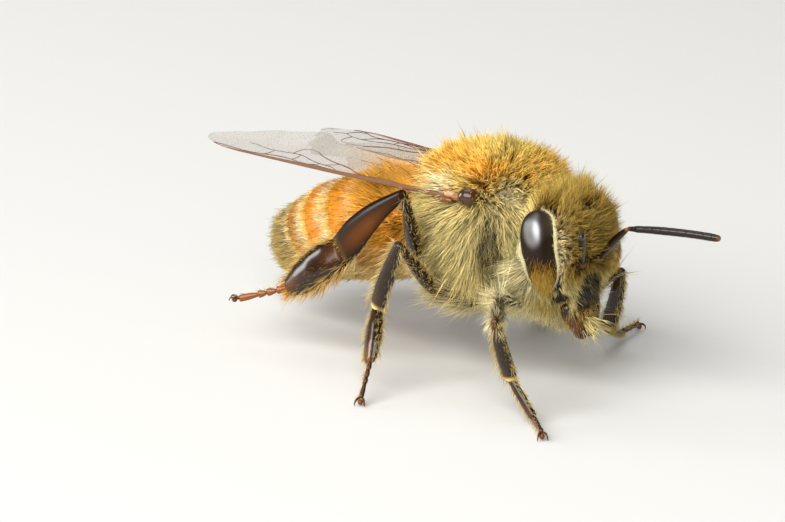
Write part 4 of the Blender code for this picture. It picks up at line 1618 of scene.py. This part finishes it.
@dataclass(frozen=True)
class Blade:
    """One wing: a film with veins, described by its edges along the span."""

    name: str
    pose: WingPose
    start: float
    length: float
    veins: tuple
    film: float = 0.012
    fore_length: float = 9.25
    fore_chord: float = 2.90
    hind_chord: float = 1.10
    stations: int = 110
    across: int = 34

    def fore_edges(self, s: Array) -> tuple[Array, Array]:
        """Leading and trailing edge of the forewing."""
        turn = np.clip((s - 0.80) / 0.20, 0.0, 1.0)
        lead = 0.32 * self.fore_chord * (1.0 - np.sqrt(1.0 - turn * turn)) - 0.05 * np.sin(math.pi * s)
        keys = ((0.0, 0.14), (0.12, 0.28), (0.34, 0.70), (0.60, 0.78), (0.72, 1.0), (0.84, 0.80),
                (0.94, 0.52), (1.0, 0.34))
        return lead, np.maximum(self.fore_chord * blend(keys, s), lead + 0.04)

    def edges(self, s: Array) -> tuple[Array, Array]:
        """Leading and trailing edge of this wing; a hindwing starts along the forewing's trailing edge."""
        if self.start == 0.0:
            return self.fore_edges(s)
        lead = self.fore_edges((self.start + s * self.length) / self.fore_length)[1] + 0.05
        return lead, lead + self.hind_chord * blend(((0.0, 0.30), (0.45, 1.0), (0.75, 0.86), (1.0, 0.20)), s)

    def surface(self, s: Array, c: Array, above: float = 0.0) -> Array:
        """Points on the film from shares of span and chord."""
        root, span, chord, normal = self.pose.axes()
        lead, trail = self.edges(s)
        width = trail - lead
        camber = 0.10 * width * np.sin(math.pi * c) * step(s, 0.0, 0.2)
        fold = 0.035 * np.sin(c * 16.0 + 2.0 * s) * np.exp(-2.2 * s) * step(c, 0.02, 0.15)
        ripple = 0.020 * np.sin(s * 31.0 + c * 5.0) * np.sin(math.pi * c)
        height = camber - 0.02 + fold + ripple + above
        flat = root + np.outer(self.start + s * self.length, span) + np.outer(lead + c * width, chord)
        return flat + np.outer(height, normal)

    def build(self, finishes: Finishes) -> None:
        """Make the film and the veins."""
        deselect()
        along, over = self.stations - 1, self.across - 1
        bpy.ops.mesh.primitive_grid_add(x_subdivisions=along, y_subdivisions=over, size=2.0)
        film = bpy.context.object
        film.name = film.data.name = f"{self.name}_film"
        share = 0.5 * (points_of(film) + 1.0)
        s = 1.0 - (1.0 - share[:, 0]) ** 1.4
        set_points(film, self.surface(s, share[:, 1]))
        note(film, "out", step(s, 0.20, 0.66))
        with_modifier(film, "SOLIDIFY", thickness=self.film, offset=0.0)
        face_out(film)
        hand_over(film, finishes.wing, [self.name])
        pieces = []
        for radii, line, pale in self.veins:
            points = np.array(line, float)
            run = self.surface(points[:, 0], points[:, 1])
            count = max(8, int(np.sum(np.linalg.norm(np.diff(run, axis=0), axis=1)) / 0.09))
            smooth = path_through(np.c_[points, np.zeros(len(points))], count)
            vein = tube("vein", self.surface(smooth[:, 0], smooth[:, 1], 0.006), radii, 8, count)
            # The pale share paints a highlight along the leading veins.
            tint(vein, 0.16, pale)
            pieces.append(vein)
        hand_over(joined(f"{self.name}_veins", pieces), finishes.vein, [self.name])


# Each vein: radii, points as shares of span and chord, and a pale share; on the leading veins the pale share
# is a painted highlight.
FORE_VEINS = (
    ((0.075, 0.066, 0.055, 0.048, 0.030, 0.010),
     ((0.0, 0.14), (0.10, 0.05), (0.30, 0.02), (0.55, 0.02), (0.75, 0.0), (0.93, 0.0)), 0.10),
    ((0.025, 0.021, 0.017), ((0.02, 0.32), (0.14, 0.16), (0.40, 0.09), (0.62, 0.06)), 0.15),
    ((0.021, 0.017, 0.014),
     ((0.02, 0.45), (0.18, 0.38), (0.36, 0.36), (0.45, 0.48), (0.55, 0.60), (0.64, 0.70)), 0.0),
    ((0.019, 0.015, 0.010), ((0.02, 0.70), (0.16, 0.74), (0.32, 0.86), (0.44, 0.93)), 0.0),
    ((0.016, 0.014, 0.012, 0.010),
     ((0.36, 0.36), (0.45, 0.16), (0.50, 0.20), (0.60, 0.29), (0.72, 0.30), (0.80, 0.25), (0.90, 0.16),
      (0.93, 0.02)), 0.0),
    ((0.012, 0.010), ((0.45, 0.17), (0.44, 0.03)), 0.0),
    ((0.012, 0.011, 0.007),
     ((0.46, 0.20), (0.53, 0.42), (0.63, 0.50), (0.74, 0.53), (0.82, 0.55), (0.88, 0.60)), 0.0),
    ((0.011, 0.009), ((0.37, 0.36), (0.36, 0.84)), 0.0),
    ((0.011, 0.009), ((0.59, 0.06), (0.60, 0.28)), 0.0),
    ((0.010, 0.009), ((0.60, 0.29), (0.58, 0.46)), 0.0),
    ((0.010, 0.009), ((0.67, 0.31), (0.69, 0.52)), 0.0),
    ((0.010, 0.009), ((0.78, 0.27), (0.79, 0.54)), 0.0),
    ((0.010, 0.009), ((0.56, 0.46), (0.52, 0.56)), 0.0),
    ((0.010, 0.007), ((0.73, 0.53), (0.72, 0.68), (0.64, 0.70)), 0.0),
)
HIND_VEINS = (
    ((0.025, 0.020, 0.010), ((0.0, 0.25), (0.20, 0.08), (0.60, 0.04), (0.90, 0.04)), 0.3),
    ((0.015, 0.011, 0.006), ((0.02, 0.50), (0.30, 0.34), (0.55, 0.38), (0.84, 0.30)), 0.0),
    ((0.014, 0.010, 0.006), ((0.02, 0.70), (0.25, 0.66), (0.55, 0.78)), 0.0),
    ((0.010, 0.007), ((0.38, 0.34), (0.40, 0.70)), 0.0),
)


@dataclass(frozen=True)
class WingCap:
    """The shining cap over a wing's root, with the small pale plates behind it."""

    side: Side
    centre: tuple[float, float, float] = (1.92, -0.42, 1.02)
    radius: float = 0.30

    def build(self, finishes: Finishes) -> None:
        """Make the cap and the plates."""
        sign = self.side.value
        centre = np.array(self.centre) * (sign, 1.0, 1.0)

        def form(s: Array, angle: Array) -> Array:
            return centre + sphere(s, angle) * self.radius * np.array([0.92, 1.05, 0.86])

        cap = shaped(f"wing_cap_{self.side.word}", 36, 24, form)
        tint(cap, 0.08)
        hand_over(cap, finishes.cap, [f"tegula_{self.side.word}"])
        pieces = []
        for place, radii, amber, pale in (
            ((1.92, -0.04, 0.98), (0.13, 0.18, 0.10), 0.5, 0.10),
            ((1.86, 0.26, 1.02), (0.12, 0.22, 0.09), 0.4, 0.45),
            ((1.74, 0.52, 1.12), (0.10, 0.24, 0.08), 0.5, 0.15),
            ((1.88, 0.40, 0.86), (0.10, 0.24, 0.08), 0.3, 0.05),
        ):
            made = lump(np.array(place) * (sign, 1.0, 1.0), radii)
            tint(made, amber, pale)
            pieces.append(made)
        hand_over(joined(f"wing_plates_{self.side.word}", pieces), finishes.vein)


# ---------------------------------------------------------------- legs


class Pair(Enum):
    """Which pair a leg belongs to."""

    FORE = "fore"
    MID = "mid"
    HIND = "hind"


LEG_LENGTHS = {
    Pair.FORE: (1.15, 2.08, 1.74, 1.21, 1.20),
    Pair.MID: (1.26, 2.30, 2.09, 1.58, 1.30),
    Pair.HIND: (1.28, 2.64, 3.10, 2.08, 1.40),
}
HIPS = {Pair.FORE: (1.50, 0.60, 1.80), Pair.MID: (-0.20, 0.80, 2.00), Pair.HIND: (-1.40, 0.80, 1.80)}
LEG_POSES = {
    (Side.RIGHT, Pair.FORE): ((-6.9, 5.8), (36.7, -5.3), (174.4, -69.8), (84.4, -47.0), (50.0, -8.0)),
    (Side.RIGHT, Pair.MID): ((-38.6, 13.8), (10.0, 40.2), (-101.6, -62.5), (30.5, -51.9), (27.4, -34.0)),
    (Side.RIGHT, Pair.HIND): ((-5.6, 39.4), (27.6, 52.7), (-95.9, -37.1), (-81.7, -33.6), (-58.7, -13.9)),
    (Side.LEFT, Pair.FORE): ((-6.0, -16.0), (-6.0, 13.0), (-96.0, -76.0), (-20.0, -14.0), (-14.0, 0.0)),
    (Side.LEFT, Pair.MID): ((-43.0, 5.0), (-8.0, 50.0), (-45.0, -66.0), (-30.0, -55.0), (-19.0, 0.0)),
    (Side.LEFT, Pair.HIND): ((-30.0, 9.0), (-26.0, 58.0), (-74.0, -53.0), (-65.0, -28.0), (-48.0, 2.0)),
}


@dataclass(frozen=True)
class Segment:
    """One segment of a leg: half widths and half depths along it, its colour and its hair.

    hair and face are length and density on the flat of the segment; upper and lower are the
    lengths of the fringes along its two edges. Which edge is which follows from where the
    segment points: on the fore femora the lower fringe stands up on the right leg and back on
    the left. A segment with matt shell bears a comb of stiff golden hairs at its end.
    """

    wide: tuple
    deep: tuple
    amber: tuple
    pale_end: float = 0.0
    hair: float = 0.09
    face: float = 0.5
    upper: float = 0.0
    lower: float = 0.0
    gold: float = 0.4
    cream: float = 0.0
    dark: float = 0.25
    matt: float = 0.0
    bare_top: bool = False
    facing: tuple[float, float, float] = (1.0, 0.12, 0.0)
    comb_hair: float = 0.10
    comb_thick: float = 4.0
    fringe_thick: float = 2.2

    @property
    def combed(self) -> bool:
        """Whether a comb ends the segment."""
        return self.matt > 0.0


SEGMENTS = {
    Pair.FORE: (
        Segment((0.20, 0.24, 0.17), (0.19, 0.22, 0.16), (0.05, 0.08, 0.15), hair=0.30, face=2.5,
                upper=0.65, lower=0.65, cream=0.6, dark=0.0),
        Segment((0.10, 0.19, 0.20, 0.13, 0.12), (0.10, 0.17, 0.17, 0.12, 0.11), (0.10, 0.04, 0.04, 0.25),
                hair=0.14, face=0.6, upper=0.50, lower=0.95, cream=0.7, dark=0.05),
        Segment((0.12, 0.20, 0.23, 0.21), (0.11, 0.16, 0.18, 0.15), (0.22, 0.02, 0.02, 0.10), 0.85,
                face=0.25, upper=0.24, lower=0.16),
        Segment((0.11, 0.13, 0.12), (0.09, 0.10, 0.09), (0.08, 0.05, 0.20), upper=0.24, lower=0.16),
        Segment((0.08, 0.07), (0.07, 0.06), (0.24, 0.34), hair=0.08, upper=0.20, lower=0.16),
    ),
    Pair.MID: (
        Segment((0.22, 0.26, 0.18), (0.20, 0.24, 0.17), (0.05, 0.08, 0.12), hair=0.50, face=2.5,
                upper=0.60, lower=0.60, cream=0.6, dark=0.0),
        Segment((0.10, 0.20, 0.21, 0.14, 0.12), (0.10, 0.18, 0.18, 0.13, 0.11), (0.08, 0.01, 0.01, 0.04),
                hair=0.12, face=0.6, upper=0.22, lower=0.28, gold=0.45, dark=0.15),
        Segment((0.14, 0.21, 0.26, 0.26), (0.12, 0.17, 0.19, 0.16), (0.04, 0.02, 0.02, 0.10), 0.9,
                hair=0.10, face=0.22, upper=0.34, lower=0.16, cream=0.3),
        Segment((0.16, 0.30, 0.32, 0.20), (0.11, 0.15, 0.15, 0.10), (0.05, 0.04, 0.08, 0.36),
                hair=0.10, face=0.4, upper=0.22, lower=0.22),
        Segment((0.08, 0.07), (0.07, 0.06), (0.36, 0.44), hair=0.08, upper=0.20, lower=0.16),
    ),
    Pair.HIND: (
        Segment((0.24, 0.28, 0.20), (0.22, 0.26, 0.18), (0.05, 0.08, 0.10), hair=0.45, face=2.0,
                upper=0.50, lower=0.50, cream=0.5, dark=0.0),
        Segment((0.11, 0.22, 0.24, 0.17, 0.14), (0.11, 0.19, 0.19, 0.14, 0.12), (0.08, 0.01, 0.0, 0.02),
                hair=0.12, face=0.9, upper=0.22, lower=0.26, gold=0.5, dark=0.2),
        Segment((0.13, 0.24, 0.37, 0.47, 0.46), (0.12, 0.13, 0.13, 0.12, 0.10),
                (0.02, 0.08, 0.22, 0.16, 0.04), 0.04, hair=0.06, face=0.02, upper=0.06, lower=0.58,
                gold=0.35, cream=0.2, dark=0.1, matt=0.72),
        Segment((0.42, 0.56, 0.57, 0.47, 0.22), (0.14, 0.25, 0.28, 0.21, 0.10), (0.14, 0.03, 0.03, 0.20),
                hair=0.11, face=1.1, upper=0.34, lower=0.32, gold=0.75, dark=0.1, bare_top=True, matt=0.01,
                facing=(1.0, 0.04, 0.20)),
        Segment((0.09, 0.08), (0.07, 0.06), (0.42, 0.50), hair=0.08, upper=0.16, lower=0.10, gold=0.8,
                dark=0.0),
    ),
}
PARTS = ("coxa", "femur", "tibia", "basitarsus", "tarsus")
HAIR_NOTES = ("hair", "thick", "straw", "milk", "soot", "fringe", "lie_x", "lie_y", "lie_z")


@dataclass(frozen=True)
class Leg:
    """One leg: coxa, femur, tibia, basitarsus, four small tarsal joints and the claws."""

    side: Side
    pair: Pair
    foot_height: float = 0.215

    @property
    def order(self) -> int:
        """The pair's place, from the front."""
        return list(Pair).index(self.pair)

    @property
    def raised(self) -> bool:
        """Whether the foot is off the floor."""
        return self.side is Side.RIGHT and self.pair is Pair.HIND

    def settle(self, start: Array, forward: float, length: float) -> Array:
        """End of a tarsus that comes down to the floor, its pitch found by halving."""
        low, high = -80.0, 60.0
        for _ in range(40):
            middle = 0.5 * (low + high)
            end = start + heading(self.side.value, forward, middle) * length
            if STANCE.to_world(end)[2] > self.foot_height * MM:
                high = middle
            else:
                low = middle
        return start + heading(self.side.value, forward, low) * length

    def joints(self) -> list[Array]:
        """The six joints."""
        ahead, out, below = HIPS[self.pair]
        sign = self.side.value
        found = [np.array([sign * out, -ahead, -below])]
        lengths, pose = LEG_LENGTHS[self.pair], LEG_POSES[self.side, self.pair]
        for length, (forward, up) in zip(lengths[:4], pose[:4]):
            found.append(found[-1] + heading(sign, forward, up) * length)
        forward, up = pose[4]
        if self.raised:
            found.append(found[-1] + heading(sign, forward, up) * lengths[4])
        else:
            found.append(self.settle(found[-1], forward, lengths[4]))
        return found

    def across(self, aim: Array, segment: Segment) -> Array:
        """Direction of a segment's width."""
        return unit(np.cross(aim, np.array(segment.facing) * (self.side.value, 1.0, 1.0)))

    def limb(self, start: Array, end: Array, segment: Segment, bow: float, rows: int) -> bpy.types.Object:
        """One segment as a closed form, its colours written on it."""
        aim = unit(end - start)
        length = float(np.linalg.norm(end - start))
        across = self.across(aim, segment)
        share = np.linspace(0.0, 1.0, 24)
        over = 0.10 * min(1.0, length)
        path = start - aim * over + np.outer(share * (length + 1.5 * over), aim)
        path = path + np.outer(bow * np.sin(math.pi * share), across)
        wide, deep = evenly(segment.wide, share), evenly(segment.deep, share)
        made = shaped("segment", 20, rows, limb_form(path, wide, deep, np.tile(across, (len(share), 1))))
        place = np.clip((points_of(made) - start) @ aim / length, 0.0, 1.0)
        edge = -self.side.value * (points_of(made) - start) @ across / evenly(segment.wide, place)
        amber = evenly(segment.amber, place)
        if amber.max() < 0.5:
            amber = amber * step(np.abs(edge), 0.90, 0.10)
        tint(made, amber, segment.pale_end * step(place, 0.90, 0.97))
        ends = np.maximum(step(place, 0.97, 1.0), step(place, 0.04, 0.0))
        note(made, "matt", segment.matt + (1.0 - segment.matt) * ends * segment.combed)
        top, bottom = step(edge, 0.62, 0.92), step(-edge, 0.62, 0.92)
        comb = step(place, 0.93, 0.99) * segment.combed
        fringe = np.maximum(np.maximum(top, bottom), comb)
        longer = [max(each, segment.hair) - segment.hair for each in (segment.upper, segment.lower)]
        hair = segment.hair + longer[0] * top + segment.comb_hair * comb
        note(made, "hair", hair + longer[1] * bottom)
        flat = 0.45 * segment.face * (1.0 - np.maximum(top, bottom))
        if segment.bare_top:
            flat = flat * step(edge, 0.35, -0.15)
        edges = top * (segment.upper > 0.1) + bottom * (segment.lower > 0.1)
        note(made, "thick", flat + segment.fringe_thick * edges + segment.comb_thick * comb)
        note(made, "straw", segment.gold + (1.0 - segment.gold) * comb)
        note(made, "milk", (segment.cream + 0.25 * fringe) * (1.0 - comb))
        note(made, "soot", (segment.dark + 0.40) * (1.0 - fringe) if segment.dark else 0.0)
        note(made, "fringe", fringe)
        for k, name in enumerate(("lie_x", "lie_y", "lie_z")):
            note(made, name, aim[k])
        return made

    def foot(self, end: Array, aim: Array) -> list[bpy.types.Object]:
        """Claws and pad at the end of the leg."""
        down = STANCE.turn().T @ np.array([0.0, 0.0, -1.0])
        if self.raised:
            down = unit(aim + 0.9 * down)
        level = unit(aim - down * (aim @ down) + 1e-6)
        side = np.cross(level, down)
        pieces = []
        for sign in (-1.0, 1.0):
            out = side * sign
            line = np.array([end + out * 0.03, end + level * 0.10 + out * 0.09 + down * 0.02,
                             end + level * 0.19 + out * 0.13 + down * 0.10,
                             end + level * 0.17 + out * 0.14 + down * 0.19])
            claw = tube("claw", path_through(line, 20), [0.036, 0.032, 0.024, 0.008], 10, 20)
            tint(claw, 0.15)
            pieces.append(claw)
        pad = shaped("pad", 16, 12, lambda s, a: end + level * 0.07 + down * 0.10 + sphere(s, a) * 0.075)
        tint(pad, 0.3)
        return pieces + [pad]

    def build(self, finishes: Finishes) -> None:
        """Make the leg and its hair."""
        at = self.joints()
        segments = SEGMENTS[self.pair]
        bows = (0.0, 0.05, -0.15 * self.side.value if self.pair is Pair.HIND else 0.04, 0.0)
        pieces = [self.limb(at[k], at[k + 1], segments[k], bows[k], 40) for k in range(4)]
        aim = unit(at[5] - at[4])
        small = segments[4]
        cuts = np.array([0.0, 0.24, 0.44, 0.62, 1.0]) * float(np.linalg.norm(at[5] - at[4]))
        for k in range(4):
            thin, thick = 0.6, 1.25 if k < 3 else 1.1
            wide = (small.wide[0] * thin, small.wide[0] * 1.05, small.wide[0] * thick)
            bead = replace(small, wide=wide, deep=(0.045, 0.06, 0.065), lower=0.0)
            pieces.append(self.limb(at[4] + aim * cuts[k], at[4] + aim * (cuts[k + 1] - 0.02), bead, 0.0, 22))
        pieces += self.foot(at[5], aim)
        leg = joined(f"leg_{self.side.word}_{self.pair.value}", pieces)
        hide = self.hide(leg)
        for name in HAIR_NOTES:
            leg.data.attributes.remove(leg.data.attributes[name])
        hand_over(leg, finishes.shell, [f"{leg.name}_{part}" for part in PARTS])
        seed = 80 + 3 * self.order + self.side.value
        hair = Coat(f"leg_hair_{self.side.word}_{self.pair.value}", 2200, seed, rings=2,
                    stray=0.10, tuft=0.06, tuft_size=0.25)
        hair.grow(hide, finishes.fur)

    def hide(self, leg: bpy.types.Object) -> Hide:
        """What the leg's points say about its hair."""
        def read(name: str) -> Array:
            values = np.empty(len(leg.data.vertices), np.float32)
            leg.data.attributes[name].data.foreach_get("value", values)
            return values.astype(float)

        hide = Hide.of(leg)
        hide.flow = np.stack([read("lie_x"), read("lie_y"), read("lie_z")], axis=1)
        hide.say(density=read("thick"), length=read("hair"), gold=read("straw"), cream=read("milk"),
                 dark=read("soot"), lift=0.28 + 0.22 * read("fringe"), width=0.0055 + 0.0030 * read("fringe"),
                 curl=0.03)
        aim = unit(hide.points[-1] - hide.points[0])
        row = 0.02 + 0.16 * (self.order * 2 + (self.side is Side.LEFT))
        hide.unwrap = Unwrap(tuple(hide.points.mean(axis=0)), tuple(aim), 5.0, row, row + 0.14)
        return hide


# ---------------------------------------------------------------- studio


@dataclass(frozen=True)
class Studio:
    """Plain pale floor, soft lights, and the camera."""

    azimuth: float = -49.763
    elevation: float = 16.181
    roll: float = 2.670
    distance: float = 129.6547
    lens: float = 220.0
    shift_right: float = 2.959
    shift_up: float = 1.000
    key_power: float = 1.33
    side_power: float = 0.34
    top_power: float = 0.30
    sky: float = 0.10

    def frame_axes(self) -> tuple[Array, Array, Array]:
        """Right, up and backward of the camera in the world."""
        a, e, r = (math.radians(v) for v in (self.azimuth, self.elevation, self.roll))
        back = np.array([math.sin(a) * math.cos(e), -math.cos(a) * math.cos(e), math.sin(e)])
        level = np.array([math.cos(a), math.sin(a), 0.0])
        upright = np.cross(back, level)
        right = math.cos(r) * level + math.sin(r) * upright
        return right, math.cos(r) * upright - math.sin(r) * level, back

    def place(self, thing: bpy.types.Object, at: Array, right: Array, up: Array, back: Array) -> None:
        """Stand a camera or light at a point, in millimetres, looking against back."""
        rows = [[*(float(axis[k]) for axis in (right, up, back)), float(at[k] * MM)] for k in range(3)]
        thing.matrix_world = Matrix(rows + [[0.0, 0.0, 0.0, 1.0]])

    def soft_light(
        self, name: str, toward: Array, distance: float, size: tuple[float, float], power: float,
        target: Array,
    ) -> None:
        """A rectangular area light shining at the target."""
        deselect()
        bpy.ops.object.light_add(type="AREA")
        lamp = bpy.context.object
        lamp.name = name
        lamp.data.shape = "RECTANGLE"
        lamp.data.size, lamp.data.size_y = size[0] * MM, size[1] * MM
        lamp.data.energy = power
        back = unit(toward)
        right = unit(np.cross(np.array([0.0, 0.0, 1.0]), back))
        self.place(lamp, target + back * distance, right, np.cross(back, right), back)

    def build(self) -> None:
        """Set up floor, lights, sky and camera."""
        deselect()
        bpy.ops.mesh.primitive_plane_add(size=4.0)
        floor = bpy.context.object
        floor.name = "floor"
        floor.data.materials.append(FloorFinish().material())

        centre = STANCE.origin()
        right, up, back = self.frame_axes()
        key = STANCE.turn() @ np.array([-0.82, -0.20, 0.52])
        self.soft_light("key", key, 258.0, (340.0, 180.0), self.key_power, centre)
        aside = STANCE.turn() @ np.array([-0.42, 0.88, 0.20])
        self.soft_light("side", aside, 260.0, (60.0, 160.0), self.side_power, centre)
        self.soft_light("top", np.array([0.15, 0.35, 1.0]), 300.0, (240.0, 240.0), self.top_power, centre)

        world = bpy.data.worlds.new("sky")
        world.use_nodes = True
        backdrop = world.node_tree.nodes["Background"]
        backdrop.inputs["Color"].default_value = (1.0, 0.99, 0.97, 1.0)
        backdrop.inputs["Strength"].default_value = self.sky
        bpy.context.scene.world = world
        bpy.context.scene.view_settings.view_transform = "Standard"

        deselect()
        bpy.ops.object.camera_add()
        camera = bpy.context.object
        camera.data.lens = self.lens
        camera.data.clip_start = 0.001
        at = centre - right * self.shift_right - up * self.shift_up + back * self.distance
        self.place(camera, at, right, up, back)
        bpy.context.scene.camera = camera


def main() -> None:
    """Build the bee round its solids and set the stage."""
    logging.basicConfig(level=logging.INFO, format="%(message)s")
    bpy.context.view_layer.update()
    finishes = Finishes()
    Trunk().build(finishes)
    Feeler(Side.RIGHT, (35.0, 56.0), (37.9, 15.8), amber_tip=0.04).build(finishes)
    Feeler(Side.LEFT, (91.0, 49.0), (78.7, 6.8)).build(finishes)
    for pose in (WingPose(Side.RIGHT, 3.0, 4.5, 5.0), WingPose(Side.LEFT, 14.5, 2.8, -3.0)):
        word = pose.side.word
        Blade(f"forewing_{word}", pose, 0.0, 9.03, FORE_VEINS).build(finishes)
        Blade(f"hindwing_{word}", pose, 0.06 * 9.25, 4.90, HIND_VEINS, stations=70, across=18).build(finishes)
        WingCap(pose.side).build(finishes)
    for side in Side:
        for pair in Pair:
            Leg(side, pair).build(finishes)
    Studio().build()


if __name__ == "__main__":
    main()
